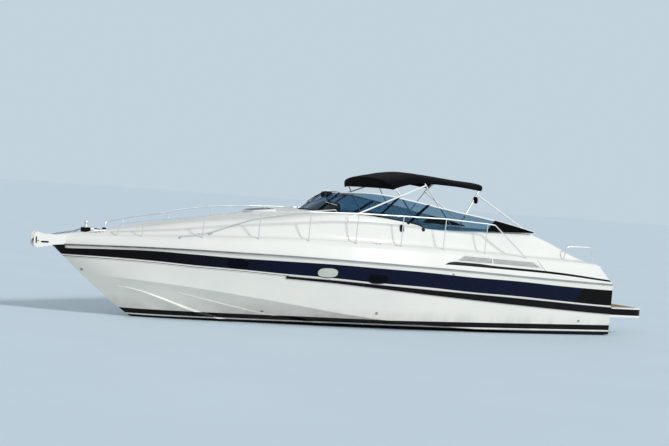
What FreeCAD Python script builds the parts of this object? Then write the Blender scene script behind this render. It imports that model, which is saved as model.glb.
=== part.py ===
import FreeCAD, Part
import Sketcher
import math
import os
import re
from types import SimpleNamespace

from FreeCAD import Placement, Rotation, Vector

# An open sports cruiser, afloat. Millimetres: +X to the bow, +Y to port, +Z up. The origin is on the
# centreline amidships, midway between stem head and transom, at the water.

SIZES = (
    ("half_length", 6100, "amidships to the stem head and to the top of the transom"),
    ("half_beam", 1880, "centreline to the joint of hull and deck, at the widest station"),
    ("freeboard", 1400, "water to the joint of hull and deck, amidships"),
    ("keel_depth", 620, "water to the keel, amidships"),
    ("transom_rake", 97, "how far the transom's foot lies aft of its top edge"),
    ("forefoot_back", 580, "stem head to the point where the chine leaves the stem, along X"),
    ("chine_flat", 155, "width of the flat inside the chine, at its widest"),
    ("spray_rail_width", 55, "spray rail across"),
    ("seam_tolerance", 0.01, "widest gap closed where two faces meet"),
    ("overrun", 400, "how far a cutting form stands out of what it cuts"),
    ("side_deck_camber", 15, "rise of the side deck to the foot of the coaming"),
    ("gunwale_round", 70, "softening of the deck's outer edge"),
    ("coaming_foot_round", 50, "softening at the coaming's foot"),
    ("coaming_top_round", 85, "softening of the coaming's top edge"),
    ("strake_depth", 26, "how far the rubbing strake stands off the topsides"),
    ("rub_rail_depth", 22, "how far the joint rail stands off"),
    ("rub_rail_height", 30, "height of the joint rail"),
    ("rub_rail_root", 60, "how far the joint rail is drawn inboard before it is trimmed"),
    ("sole_height", 950, "water to the cockpit sole"),
    ("liner_wall", 40, "cockpit liner, sides and ends"),
    ("liner_floor", 70, "cockpit liner, floor"),
    ("cockpit_front", -290, "aft face of the cabin bulkhead, from amidships"),
    ("cockpit_length", 3120, "clear length of the cockpit"),
    ("cockpit_half_width", 1200, "centreline to the cockpit's side"),
    ("well_corner", 120, "rounding of the cockpit's upright corners"),
    ("sunpad_level", 1500, "water to the recess that the sunpad lies in"),
    ("sunpad_aft", 5400, "amidships to the aft end of the sunpad's recess"),
    ("sunpad_half_width", 1130, "centreline to the side of the recess"),
    ("passage_width", 570, "clear width of the way aft to the platform"),
    ("engine_bay_floor", -100, "water to the engine beds"),
    ("engine_bay_top", 880, "water to the deckhead beneath the passage"),
    ("engine_bay_aft", 5700, "amidships to the aft end of the engine room"),
    ("engine_bay_length", 2100, "clear length of the engine room"),
    ("engine_bay_half_width", 1050, "centreline to the side of the engine room"),
    ("hatch_frame_margin", 60, "sunpad lid's landing on the deck round the engine hatch"),
    ("engine_length", 1500, "one engine with its gearbox"),
    ("engine_width", 720, "one engine across"),
    ("engine_height", 880, "one engine, beds to top"),
    ("engine_spread", 560, "centreline to an engine's and a shaft's plane"),
    ("cabin_length", 2400, "cabin bulkhead to the forward end of the standing room"),
    ("cabin_half_width", 780, "centreline to the cabin's side"),
    ("cabin_sole", 260, "water to the cabin sole"),
    ("cabin_deckhead", 1950, "water to the cabin's deckhead"),
    ("platform_length", 990, "transom to the aft edge of the swim platform"),
    ("platform_half_width", 1640, "centreline to the platform's side"),
    ("platform_top", 625, "water to the platform's top"),
    ("platform_thickness", 215, "swim platform"),
    ("platform_corner", 260, "rounding of the platform's aft corners"),
    ("bow_platform_reach", 380, "stem head to the tip of the bow platform"),
    ("bow_platform_root", 225, "stem head to the aft end of the bow platform"),
    ("bow_platform_half_width", 150, "centreline to the outside of a cheek"),
    ("bow_platform_base", 1290, "water to the underside of the bow platform"),
    ("bow_platform_height", 310, "bow platform"),
    ("bow_cheek", 45, "thickness of each cheek"),
    ("bow_pan", 50, "thickness of the pan between the cheeks"),
    ("roller_radius", 52, "anchor roller"),
    ("roller_gap", 1, "anchor roller to each cheek"),
    ("pin_radius", 12, "anchor roller's pin"),
    ("pin_head", 6, "how far the roller's pin stands out of each cheek"),
    ("running_gap", 0.05, "radial clearance of a shaft in its bearing"),
    ("seat_gap", 0.3, "clearance of a piece that rests on another"),
    ("rail_radius", 13, "stainless handrail tube"),
    ("stanchion_radius", 10.4, "stanchion tube"),
    ("rail_bend", 90, "bend radius of the handrails"),
    ("rail_foot_radius", 34, "round foot plate of a stanchion"),
    ("rail_foot_height", 10, "foot plate above the deck"),
    ("foot_depth", 60, "how deep a foot is drawn before it is trimmed to the deck"),
    ("stanchion_inset", 215, "joint line to the stanchions' feet"),
    ("rail_inset", 165, "joint line to the top rail"),
    ("grab_rail_offset", 950, "centreline to the coach roof's grab rail"),
    ("grab_rail_height", 55, "grab rail above the coach roof"),
    ("grab_rail_radius", 10, "grab rail tube"),
    ("glass_thickness", 10, "windscreen glass"),
    ("screen_rail_radius", 17, "windscreen's top rail"),
    ("mullion_width", 62, "black windscreen mullion"),
    ("mullion_depth", 14, "mullion and quarter panel, outside the glass"),
    ("bimini_tube_radius", 14, "bimini bow"),
    ("bimini_foot_spread", 90, "main bow's foot to the aft bow's foot"),
    ("bow_bite", 3, "how deep a bow lies in the canopy's pocket"),
    ("bimini_half_width", 1100, "centreline to the canopy's side"),
    ("bimini_foot_offset", 1240, "centreline to the bimini's feet"),
    ("canopy_thickness", 6, "canopy cloth, doubled at its pockets"),
    ("strut_radius", 16, "white bracing strut"),
    ("windlass_place", 5450, "amidships to the windlass"),
    ("windlass_base_radius", 95, "windlass base"),
    ("windlass_base_height", 70, "windlass base above the deck"),
    ("capstan_radius", 46, "windlass drum at its rims"),
    ("capstan_waist", 33, "windlass drum at its waist"),
    ("capstan_height", 120, "windlass drum"),
    ("cleat_length", 230, "horn cleat"),
    ("cleat_radius", 14, "horn of a cleat"),
    ("cleat_height", 62, "cleat above the deck"),
    ("hatch_size", 560, "foredeck hatch over its lid"),
    ("hatch_corner", 70, "rounding of the hatch's corners"),
    ("hatch_frame_width", 45, "hatch frame"),
    ("hatch_frame_height", 26, "hatch frame above the coach roof"),
    ("hatch_lid_thickness", 22, "hatch lid"),
    ("hatch_place", 1800, "amidships to the hatch's centre"),
    ("shaft_angle", 8, "degrees that the propeller shafts slope down aft"),
    ("shaft_radius", 25, "propeller shaft"),
    ("propeller_place", 5150, "amidships to the propellers"),
    ("propeller_depth", 680, "water to the propellers' centres"),
    ("propeller_radius", 255, "propeller"),
    ("propeller_hub_radius", 52, "propeller hub at its fore end"),
    ("propeller_hub_tail", 30, "propeller hub at its aft end"),
    ("propeller_hub_length", 190, "propeller hub"),
    ("blade_thickness", 14, "propeller blade at its root"),
    ("blade_chord", 210, "propeller blade at its widest"),
    ("bearing_radius", 46, "barrel of the shaft bracket"),
    ("bearing_length", 190, "barrel of the shaft bracket"),
    ("bracket_thickness", 26, "strut of the shaft bracket"),
    ("bracket_chord", 130, "strut of the shaft bracket, fore and aft"),
    ("bearing_place", 4940, "amidships to the shaft bracket"),
    ("stern_tube_radius", 44, "stern tube"),
    ("stern_tube_place", 3450, "amidships to the stern tube's aft end"),
    ("stern_tube_length", 800, "stern tube before it is trimmed to the hull"),
    ("rudder_place", 5760, "amidships to the rudder stocks"),
    ("rudder_chord", 330, "rudder blade, fore and aft"),
    ("rudder_balance", 95, "rudder blade ahead of its stock"),
    ("rudder_height", 520, "rudder blade"),
    ("rudder_thickness", 44, "rudder blade at its stock"),
    ("rudder_top", -420, "water to the top of the rudder blade"),
    ("rudder_stock_radius", 24, "rudder stock"),
    ("rudder_boss_radius", 52, "rudder port on the hull's bottom"),
    ("rudder_clearance", 14, "rudder blade to its port"),
    ("gate_thickness", 40, "transom gate"),
    ("gate_height", 560, "transom gate"),
    ("gate_gap", 5, "transom gate to the passage's sides"),
    ("gate_place", 5745, "amidships to the gate's forward face"),
    ("gate_pin_radius", 7, "hinge pin of the gate"),
    ("gate_lug", 30, "hinge lug, fore and aft, and past its pin"),
    ("gate_lug_height", 24, "hinge lug"),
    ("door_width", 580, "companionway opening"),
    ("door_height", 900, "companionway opening above its sill"),
    ("door_sill", 60, "companionway sill above the sole"),
    ("door_thickness", 30, "sliding door"),
    ("door_lap", 30, "sliding door's overlap past its opening"),
    ("door_gap", 5, "sliding door to the bulkhead"),
    ("door_travel", 470, "sliding door"),
    ("console_depth", 560, "helm console, fore and aft, at its foot"),
    ("console_width", 900, "helm console across"),
    ("console_inset", 170, "centreline to the console's inboard side"),
    ("console_height", 1150, "helm console above the sole"),
    ("wheel_radius", 190, "steering wheel to the middle of its rim"),
    ("wheel_rim_radius", 15, "steering wheel rim"),
    ("wheel_hub_radius", 45, "steering wheel hub"),
    ("wheel_hub_length", 60, "steering wheel hub"),
    ("wheel_spoke_radius", 9, "steering wheel spoke"),
    ("seat_width", 620, "helm seat"),
    ("seat_depth", 520, "helm seat"),
    ("seat_height", 620, "helm seat above the sole"),
    ("seat_back_height", 520, "helm seat's back"),
    ("seat_back_thickness", 110, "helm seat's back"),
    ("seat_place", 1330, "amidships to the forward edge of the helm seat"),
    ("seat_base_thickness", 60, "helm seat's base"),
    ("pedestal_radius", 75, "helm seat's pedestal"),
    ("cushion_thickness", 120, "cockpit cushions"),
    ("cushion_inset", 12, "cushion in from the edge of what carries it"),
    ("bench_height", 340, "cockpit bench above the sole"),
    ("bench_depth", 580, "cockpit bench"),
    ("bench_front", 1350, "amidships to the forward end of the port bench"),
    ("lid_thickness", 60, "sunpad lid"),
    ("lid_gap", 6, "sunpad lid to the recess round it"),
    ("sunpad_cushion_thickness", 130, "sunpad cushion"),
    ("intake_depth", 46, "recess of the air intake"),
    ("intake_frame", 28, "frame of the air intake"),
    ("intake_back", 8, "back of the air intake's tray"),
    ("louvre_pitch", 26, "air intake louvres, one to the next"),
    ("louvre_thickness", 7, "air intake louvre"),
    ("louvre_depth", 30, "air intake louvre, outside to inside"),
    ("louvre_tilt", 35, "degrees that a louvre slopes down outward"),
    ("stern_rail_radius", 13, "stern rail tube"),
    ("dash_skin", 8, "black dashboard moulding on the deck behind the screen"),
    ("dash_margin", 70, "windscreen's foot to the dashboard moulding"),
)

doc = FreeCAD.newDocument("SportsCruiser")
sheet = doc.addObject("Spreadsheet::Sheet", "Sizes")
for line, (alias, value, note) in enumerate(SIZES, 1):
    sheet.set(f"A{line}", note)
    sheet.set(f"B{line}", str(value))
    sheet.setAlias(f"B{line}", alias)
doc.recompute()
S = SimpleNamespace(**{alias: float(sheet.get(alias)) for alias, _, _ in SIZES})
ALIASES = {alias for alias, _, _ in SIZES}
NODES = []

X_AXIS = Vector(1, 0, 0)
Y_AXIS = Vector(0, 1, 0)
Z_AXIS = Vector(0, 0, 1)
SIDES = (1, -1)


# Binding and publishing

def cell(expression):
    """Write an expression with the sheet's name before each alias."""
    return re.sub(r"[a-z_]+", lambda m: "Sizes." + m.group(0) if m.group(0) in ALIASES else m.group(0), expression)


def bind(obj, **expressions):
    """Bind properties of an object to cells; x, y and z are its place."""
    for name, expression in expressions.items():
        path = f"Placement.Base.{name}" if name in ("x", "y", "z") else name
        obj.setExpression(path, cell(expression))
    return obj


def box(name, Length, Width, Height, x="0", y="0", z="0"):
    """Add a bound box whose low corner is at x, y, z."""
    return bind(doc.addObject("Part::Box", name), Length=Length, Width=Width, Height=Height, x=x, y=y, z=z)


def cylinder(name, Radius, Height, x="0", y="0", z="0"):
    """Add a bound upright cylinder."""
    return bind(doc.addObject("Part::Cylinder", name), Radius=Radius, Height=Height, x=x, y=y, z=z)


def feature(name, shape):
    """Add a free shape, for forms that no primitive or sketch gives."""
    obj = doc.addObject("Part::Feature", name)
    obj.Shape = shape
    return obj


def cut(name, base, *tools):
    """Cut tools from a base, one boolean after another."""
    for number, tool in enumerate(tools):
        result = doc.addObject("Part::Cut", name if number == len(tools) - 1 else f"{name}_step_{number}")
        result.Base, result.Tool = base, tool
        base = result
    return base


def fuse(name, *parts):
    """Fuse several objects into one solid."""
    obj = doc.addObject("Part::MultiFuse", name)
    obj.Shapes = list(parts)
    return obj


def rounded(name, base, radius, chosen):
    """Fillet the chosen edges of an object by a sheet value."""
    doc.recompute()
    obj = doc.addObject("Part::Fillet", name)
    obj.Base = base
    size = getattr(S, radius)
    obj.Edges = [(number, size, size) for number, edge in enumerate(base.Shape.Edges, 1) if chosen(edge)]
    return obj


def upright(edge):
    """Tell whether an edge runs straight up."""
    ends = [v.Point for v in edge.Vertexes]
    return len(ends) == 2 and abs((ends[1] - ends[0]).normalize().z) > 1 - S.seam_tolerance


def publish(node, obj):
    """Name an object as one piece of the boat."""
    obj.Label = node
    NODES.append(obj)
    return obj


def node(name, shape):
    """Publish a free shape under a node's name."""
    return publish(name, feature(name + "_form", shape))


def body_of(name, plane, points, length, offset="0", symmetric=False):
    """Pad a closed outline, each corner bound to the sheet, along a plane's normal."""
    body = doc.addObject("PartDesign::Body", name)
    sketch = body.newObject("Sketcher::SketchObject", name + "_outline")
    sketch.AttachmentSupport = next(f for f in body.Origin.OriginFeatures if f.Role == plane)
    sketch.MapMode = "FlatFace"
    sketch.setExpression(".AttachmentOffset.Base.z", cell(offset))
    corners = [Vector(S_value(a), S_value(b), 0) for a, b in points]
    for number, corner in enumerate(corners):
        sketch.addGeometry(Part.LineSegment(corner, corners[(number + 1) % len(corners)]), False)
    for number in range(len(corners)):
        sketch.addConstraint(Sketcher.Constraint("Coincident", number, 2, (number + 1) % len(corners), 1))
    for number, (across, along) in enumerate(points):
        for kind, expression in (("DistanceX", across), ("DistanceY", along)):
            index = sketch.addConstraint(Sketcher.Constraint(kind, -1, 1, number, 1, S_value(expression)))
            sketch.setExpression(f"Constraints[{index}]", cell(expression))
    pad = body.newObject("PartDesign::Pad", name + "_pad")
    pad.Profile = sketch
    pad.Midplane = symmetric
    pad.setExpression("Length", cell(length))
    body.Tip = pad
    return body


def S_value(expression):
    """Work out an expression in sheet values, for a sketch's first drawing."""
    words = re.sub(r"[a-z_]+", lambda m: repr(getattr(S, m.group(0))), expression)
    total = 0.0
    for sign, term in re.findall(r"([+-]?)\s*([^+-]+)", words.replace("+ -", "-").replace("- -", "+")):
        product = 1.0
        for operator, factor in re.findall(r"([*/]?)\s*([\d.]+)", term):
            product = product / float(factor) if operator == "/" else product * float(factor)
        total += -product if sign == "-" else product
    return total


# Curves and skins

STATION_SHARES = (0, 0.03, 0.055, 0.07, 0.1, 0.13, 0.16, 0.2, 0.26, 0.33, 0.4, 0.47, 0.54, 0.61, 0.68, 0.75,
                  0.82, 0.88, 0.93, 0.97, 1)
LENGTHWISE = 3


def fair(shares):
    """Give a curve without overshoot through points chosen by hand."""
    xs = [x for x, _ in shares]
    ys = [y for _, y in shares]
    last = len(xs) - 1
    rise = [(ys[i + 1] - ys[i]) / (xs[i + 1] - xs[i]) for i in range(last)]
    slope = [rise[0]] + [0.0] * (last - 1) + [rise[-1]]
    for i in range(1, last):
        if rise[i - 1] * rise[i] > 0:
            slope[i] = 2 * rise[i - 1] * rise[i] / (rise[i - 1] + rise[i])

    def value(x):
        if x >= xs[-1]:
            return ys[-1]
        i = max([k for k in range(last) if xs[k] <= x], default=0)
        run = xs[i + 1] - xs[i]
        t = max((x - xs[i]) / run, 0)
        return ((2 * t**3 - 3 * t**2 + 1) * ys[i] + (t**3 - 2 * t**2 + t) * run * slope[i]
                + (3 * t**2 - 2 * t**3) * ys[i + 1] + (t**3 - t**2) * run * slope[i + 1])

    return value


def knots(count, degree):
    """Give the clamped multiplicities and knots for a number of poles."""
    spans = count - degree
    return [degree + 1] + [1] * (spans - 1) + [degree + 1], [float(i) for i in range(spans + 1)]


def surface_over(rows, lengthwise, across):
    """Fit a surface over rows of poles, each row a line along the piece."""
    poles = [list(column) for column in zip(*rows)]
    along_mults, along_knots = knots(len(poles), lengthwise)
    across_mults, across_knots = knots(len(rows), across)
    surface = Part.BSplineSurface()
    surface.buildFromPolesMultsKnots(poles, along_mults, across_mults, along_knots, across_knots,
                                     False, False, lengthwise, across)
    return surface


def skin(rows, lengthwise, across):
    """Make one face over rows of poles."""
    return surface_over(rows, lengthwise, across).toShape()


def panels(rows, lengthwise, across):
    """Make one face between each pair of knots across the rows."""
    surface = surface_over(rows, lengthwise, across)
    start, end = surface.bounds()[:2]
    knots_across = surface.getVKnots()
    faces = []
    for low, high in zip(knots_across, knots_across[1:]):
        panel = surface.copy()
        panel.segment(start, end, low, high)
        faces.append(panel.toShape())
    return faces


def closed(faces):
    """Sew faces into one solid."""
    sewn = Part.Compound(faces)
    sewn.sewShape(S.seam_tolerance)
    return Part.Solid(sewn.Shells[0])


def slab(outer, inner, lengthwise, across):
    """Make a solid between two skins with like rows."""
    ends = [skin([[row[i] for row in outer], [row[i] for row in inner]], across, 1) for i in (0, -1)]
    edges = [skin([outer[i], inner[i]], lengthwise, 1) for i in (0, -1)]
    return closed([skin(outer, lengthwise, across), skin(inner, lengthwise, across)] + ends + edges)


def mirrored(row):
    """Give a row of points on the other side of the boat."""
    return [Vector(p.x, -p.y, p.z) for p in row]


def both_sides(shape):
    """Give a port piece and its mirror image as one compound."""
    return Part.Compound([shape, shape.mirror(Vector(), Y_AXIS)])


BEND_SHARE = 0.45


def rounded_path(points, bend):
    """Join points by straight runs and tangent arcs."""
    edges = []
    start = points[0]
    for before, corner, after in zip(points, points[1:], points[2:]):
        into, out = (corner - before).normalize(), (after - corner).normalize()
        turn = into.getAngle(out)
        shorter = min((corner - before).Length, (after - corner).Length)
        reach = min(bend * math.tan(turn / 2), shorter * BEND_SHARE)
        if reach < S.seam_tolerance:
            continue
        first, second = corner - into * reach, corner + out * reach
        radius = reach / math.tan(turn / 2)
        centre = corner + (out - into).normalize() * (radius / math.cos(turn / 2))
        middle = centre + (corner - centre).normalize() * radius
        edges.append(Part.LineSegment(start, first).toShape())
        edges.append(Part.Arc(first, middle, second).toShape())
        start = second
    edges.append(Part.LineSegment(start, points[-1]).toShape())
    return Part.Wire(edges)


def tube(points, radius, bend):
    """Sweep a round bar along a path with rounded corners."""
    path = rounded_path(points, bend)
    ring = Part.Wire(Part.Circle(points[0], points[1] - points[0], radius).toShape())
    return path.makePipeShell([ring], True, False)


def rod(start, end, radius):
    """Make a straight round bar."""
    return Part.makeCylinder(radius, (end - start).Length, start, end - start)


# Lines of the hull, as shares of the half length, against shares of the size named beside each

HALF_BEAM_SHARES = ((-1, 0.957), (-0.6, 0.989), (-0.2, 1), (0, 0.989), (0.2, 0.932), (0.4, 0.812), (0.6, 0.62),
                    (0.76, 0.415), (0.88, 0.225), (0.96, 0.085), (1, 0))
SHEER_SHARES = ((-1, 0.82), (-0.68, 0.873), (-0.29, 0.949), (0.06, 1), (0.37, 1.026), (0.65, 1.026),
                (0.78, 1.011), (1, 0.972))
CHINE_BEAM_SHARES = ((-1, 0.872), (-0.63, 0.886), (-0.24, 0.862), (-0.05, 0.824), (0.144, 0.766),
                     (0.338, 0.686), (0.53, 0.553), (0.685, 0.41), (0.8, 0.277))
CHINE_SHARES = ((-1, 0.014), (-0.63, 0.028), (-0.24, 0.096), (-0.05, 0.157), (0.144, 0.264), (0.338, 0.379),
                (0.53, 0.476), (0.685, 0.539), (0.8, 0.571), (0.905, 0.597))
KEEL_SHARES = ((-1, -0.81), (-0.63, -0.9), (-0.05, -1), (0.14, -1), (0.33, -0.975), (0.52, -0.815),
               (0.6, -0.63), (0.674, -0.347), (0.73, 0), (0.79, 0.432), (0.844, 0.839))
CHINE_FLAT_SHARES = ((-1, 1), (-0.2, 1), (0.2, 0.92), (0.45, 0.8), (0.65, 0.55), (0.8, 0.25))
CHINE_DROP_SHARES = ((-1, 0.12), (-0.2, 0.2), (0.2, 0.5), (0.5, 0.65), (0.9, 0.7))
FLARE_SHARES = ((0, 0.62), (0.4, 0.58), (0.55, 0.5), (0.7, 0.42), (0.85, 0.36), (1, 0.36))

forefoot = 1 - S.forefoot_back / S.half_length
forefoot_rise = CHINE_SHARES[-1][1] * S.freeboard / S.keel_depth
half_beam_at = fair(HALF_BEAM_SHARES)
sheer_at = fair(SHEER_SHARES)
chine_beam_at = fair(CHINE_BEAM_SHARES + ((forefoot, 0),))
chine_at = fair(CHINE_SHARES)
keel_at = fair(KEEL_SHARES + ((forefoot, forefoot_rise),))
flare_at = fair(FLARE_SHARES)
chine_flat_at = fair(CHINE_FLAT_SHARES + ((forefoot, 0),))
chine_drop_at = fair(CHINE_DROP_SHARES)


def line_of(aft, fore, beam, height):
    """Lay a line's poles along the boat, between two places given in millimetres."""
    places = [aft + share * (fore - aft) for share in STATION_SHARES]
    return [Vector(x, beam(x / S.half_length), height(x / S.half_length)) for x in places]


def hull_lines(outset=0):
    """Give the port keel, inner chine, chine, mid and sheer lines, moved outboard if asked."""
    grow = 1 + outset / S.half_beam
    sheer = line_of(-S.half_length, S.half_length,
                    lambda x: S.half_beam * half_beam_at(x) * grow, lambda x: S.freeboard * sheer_at(x))
    foot = -S.half_length - S.transom_rake
    chine = line_of(foot, forefoot * S.half_length,
                    lambda x: S.half_beam * chine_beam_at(x) * grow, lambda x: S.freeboard * chine_at(x))
    keel = line_of(foot, forefoot * S.half_length, lambda x: 0, lambda x: S.keel_depth * keel_at(x))
    flat = []
    for point in chine:
        width = S.chine_flat * chine_flat_at(point.x / S.half_length)
        drop = width * chine_drop_at(point.x / S.half_length)
        flat.append(Vector(point.x, point.y - width, point.z - drop))
    mid = [Vector((a.x + b.x) / 2, a.y + (b.y - a.y) * flare_at(share), (a.z + b.z) / 2)
           for a, b, share in zip(chine, sheer, STATION_SHARES)]
    return keel, flat, chine, mid, sheer


def hull_form(outset=0):
    """Sew the hull's outside, keel to sheer, with a lid and a transom."""
    keel, flat, chine, mid, sheer = hull_lines(outset)
    faces = []
    for side in (list, mirrored):
        faces.append(skin([keel, side(flat)], LENGTHWISE, 1))
        faces.append(skin([side(flat), side(chine)], LENGTHWISE, 1))
        faces.append(skin([side(chine), side(mid), side(sheer)], LENGTHWISE, 2))
    faces.append(skin([sheer, mirrored(sheer)], LENGTHWISE, 1))
    ends = [(line[0], mirrored(line)[0]) for line in (chine, mid, sheer)]
    foot = [keel[0], flat[0], chine[0], mirrored(chine)[0], mirrored(flat)[0], keel[0]]
    faces.append(Part.Face(Part.makePolygon(foot)))
    faces.append(skin([[pair[0] for pair in ends], [pair[1] for pair in ends]], 2, 1))
    return closed(faces)


# Lines of the deck moulding, against the freeboard

GUNWALE_SHARES = ((-1, 1.114), (-0.8, 1.161), (-0.6, 1.19), (-0.4, 1.225), (-0.2, 1.25), (0, 1.264),
                  (0.2, 1.27), (0.4, 1.243), (0.6, 1.2), (0.76, 1.154), (0.9, 1.115), (1, 1.06))
COAMING_SHARES = ((-1, 1.13), (-0.95, 1.14), (-0.9, 1.155), (-0.875, 1.235), (-0.83, 1.325), (-0.775, 1.418),
                  (-0.716, 1.507), (-0.67, 1.556), (-0.5, 1.565), (-0.25, 1.572), (-0.2, 1.593),
                  (-0.14, 1.638), (-0.05, 1.668), (0.1, 1.68), (0.16, 1.65), (0.223, 1.58), (0.374, 1.486),
                  (0.54, 1.43), (0.646, 1.343), (0.75, 1.243), (0.83, 1.193), (0.9, 1.157), (1, 1.093))
CREST_SHARES = ((-1, 1.135), (-0.9, 1.165), (-0.67, 1.556), (-0.05, 1.68), (0.1, 1.684), (0.18, 1.66),
                (0.35, 1.581), (0.516, 1.466), (0.6, 1.41), (0.674, 1.326), (0.75, 1.272), (0.83, 1.219),
                (0.9, 1.174), (1, 1.1))
GUNWALE_BEAM_SHARES = ((-1, 0.93), (0, 0.912), (0.4, 0.9), (0.8, 0.85), (1, 0.85))
COAMING_FOOT_BEAM_SHARES = ((-1, 0.77), (-0.4, 0.785), (0.05, 0.805), (0.4, 0.765), (0.8, 0.62), (1, 0.6))
COAMING_BEAM_SHARES = ((-1, 0.715), (-0.4, 0.738), (0.05, 0.772), (0.13, 0.755), (0.25, 0.69), (0.4, 0.615),
                       (0.6, 0.52), (0.8, 0.42), (1, 0.4))
BOW_SETBACK_SHARES = (0, 0.002, 0.004, 0.006, 0.007)
STERN_SLOPE_SHARE = 0.89
CROWN_SHARES = (0.5, 0.78)
SHOULDER_SHARE = 0.35
ROUND_SHARE = 0.4

gunwale_at, coaming_at, crest_at = fair(GUNWALE_SHARES), fair(COAMING_SHARES), fair(CREST_SHARES)
gunwale_beam_at, coaming_foot_beam_at = fair(GUNWALE_BEAM_SHARES), fair(COAMING_FOOT_BEAM_SHARES)
coaming_beam_at = fair(COAMING_BEAM_SHARES)


DECK_BEAMS = (lambda x: 1, gunwale_beam_at, coaming_foot_beam_at, coaming_beam_at, lambda x: 0)
DECK_HEIGHTS = (lambda x: S.freeboard * sheer_at(x), lambda x: S.freeboard * gunwale_at(x),
                lambda x: S.freeboard * gunwale_at(x) + S.side_deck_camber,
                lambda x: S.freeboard * coaming_at(x), lambda x: S.freeboard * crest_at(x))
CORNER_ROUNDS = (S.gunwale_round, S.coaming_foot_round, S.coaming_top_round)


def deck_lines():
    """Give the port deck's lines from joint to centreline, with softened corners."""
    lines = []
    for setback, beam, height in zip(BOW_SETBACK_SHARES, DECK_BEAMS, DECK_HEIGHTS):
        aft = -S.half_length + (height(-1) - DECK_HEIGHTS[0](-1)) * STERN_SLOPE_SHARE
        lines.append(line_of(aft, S.half_length * (1 - setback),
                             lambda x, b=beam: S.half_beam * half_beam_at(x) * b(x), height))
    lines[-1][0].x = lines[-2][0].x
    for line in lines[1:]:
        line[-1].y = 0
    soft = [lines[0]]
    for number, radius in enumerate(CORNER_ROUNDS, 1):
        for neighbour in (number - 1, number + 1):
            if number == 1 and neighbour == 0:
                soft.append([point + (other - point) * SHOULDER_SHARE
                             for point, other in zip(lines[1], lines[0])])
            row = []
            for point, other in zip(lines[number], lines[neighbour]):
                leg = other - point
                reach = min(radius, leg.Length * ROUND_SHARE)
                row.append(point + leg * (reach / leg.Length) if leg.Length else point)
            soft.append(row)
    top, crest = lines[-2:]
    along, rise = CROWN_SHARES
    soft.append([Vector(a.x + (b.x - a.x) * along, a.y + (b.y - a.y) * along, a.z + (b.z - a.z) * rise)
                 for a, b in zip(top, crest)])
    soft.append(crest)
    return soft


def deck_form():
    """Sew the deck moulding's outside and its underside on the joint."""
    lines = deck_lines()
    sheer = lines[0]
    faces = panels(lines, LENGTHWISE, 2) + panels([mirrored(line) for line in lines], LENGTHWISE, 2)
    faces.append(skin([sheer, mirrored(sheer)], LENGTHWISE, 1))
    stern = [line[0] for line in lines]
    middle = Vector(sheer[0].x, 0, sheer[0].z)
    for side in (list, mirrored):
        foot = [side([sheer[0]])[0] + (middle - side([sheer[0]])[0]) * (i / (len(stern) - 1))
                for i in range(len(stern))]
        faces += panels([list(pair) for pair in zip(side(stern), foot)], 1, 2)
    return closed(faces)


BAND_STEPS = 8


def band_prism(upper, lower, fore, aft):
    """Give an athwartships prism between two lines of the side view."""
    places = [fore + (aft - fore) * i / BAND_STEPS for i in range(BAND_STEPS + 1)]
    path = [Vector(x, 0, upper(x)) for x in places] + [Vector(x, 0, lower(x)) for x in reversed(places)]
    width = S.half_beam + S.overrun
    face = Part.Face(Part.makePolygon(path + [path[0]]))
    face.translate(Vector(0, -width, 0))
    return face.extrude(Vector(0, 2 * width, 0))


hull_solid = hull_form()
deck_solid = deck_form()

# Wells and rooms that are cut from hull and deck

cockpit_well = rounded("cockpit_well", box(
    "cockpit_well_box", "cockpit_length + 2 * liner_wall", "2 * cockpit_half_width + 2 * liner_wall",
    "freeboard * 2", "cockpit_front - cockpit_length - liner_wall", "-cockpit_half_width - liner_wall",
    "sole_height - liner_floor"), "well_corner", upright)
sunpad_recess = box(
    "sunpad_recess", "sunpad_aft + cockpit_front - cockpit_length", "2 * sunpad_half_width", "freeboard",
    "-sunpad_aft", "-sunpad_half_width", "sunpad_level")
passage = box(
    "passage", "half_length + overrun + cockpit_front - cockpit_length", "passage_width", "freeboard",
    "-half_length - overrun", "-sunpad_half_width", "sole_height")
engine_room = box(
    "engine_room", "engine_bay_length", "2 * engine_bay_half_width", "engine_bay_top - engine_bay_floor",
    "-engine_bay_aft", "-engine_bay_half_width", "engine_bay_floor")
engine_hatch = box(
    "engine_hatch", "sunpad_aft + cockpit_front - cockpit_length - liner_wall - 2 * hatch_frame_margin",
    "2 * sunpad_half_width - passage_width - 2 * hatch_frame_margin - lid_gap", "sunpad_level",
    "-sunpad_aft + hatch_frame_margin", "passage_width - sunpad_half_width + hatch_frame_margin + lid_gap",
    "engine_bay_top - overrun")
cabin = box(
    "cabin", "cabin_length", "2 * cabin_half_width", "cabin_deckhead - cabin_sole",
    "cockpit_front + liner_wall", "-cabin_half_width", "cabin_sole")
hatch_hole = box(
    "hatch_hole", "hatch_size - 2 * hatch_frame_width", "hatch_size - 2 * hatch_frame_width", "freeboard",
    "hatch_place - hatch_size / 2 + hatch_frame_width", "-hatch_size / 2 + hatch_frame_width",
    "cabin_deckhead - overrun")


def height_on_deck(x, y):
    """Find the deck's top under a place."""
    ray = Part.makeLine(Vector(x, y, S.freeboard * 2), Vector(x, y, S.freeboard / 2))
    return max(v.Z for v in ray.common(deck_solid).Vertexes)


def side_of_deck(x_share, z_share):
    """Find the point on the deck's port side at a place in the side view."""
    start = Vector(S.half_length * x_share, 0, S.freeboard * z_share)
    ray = Part.makeLine(start, start + Y_AXIS * (S.half_beam + S.overrun))
    return Vector(start.x, max(v.Y for v in ray.common(deck_solid).Vertexes), start.z)


# Air intakes: a louvred tray in each side of the deck, outlined in the side view

INTAKE_SHARES = ((-0.358, 1.175), (-0.648, 1.128), (-0.694, 1.01), (-0.312, 1.068))
INTAKE_DIVIDER_SHARE = 0.42

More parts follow.
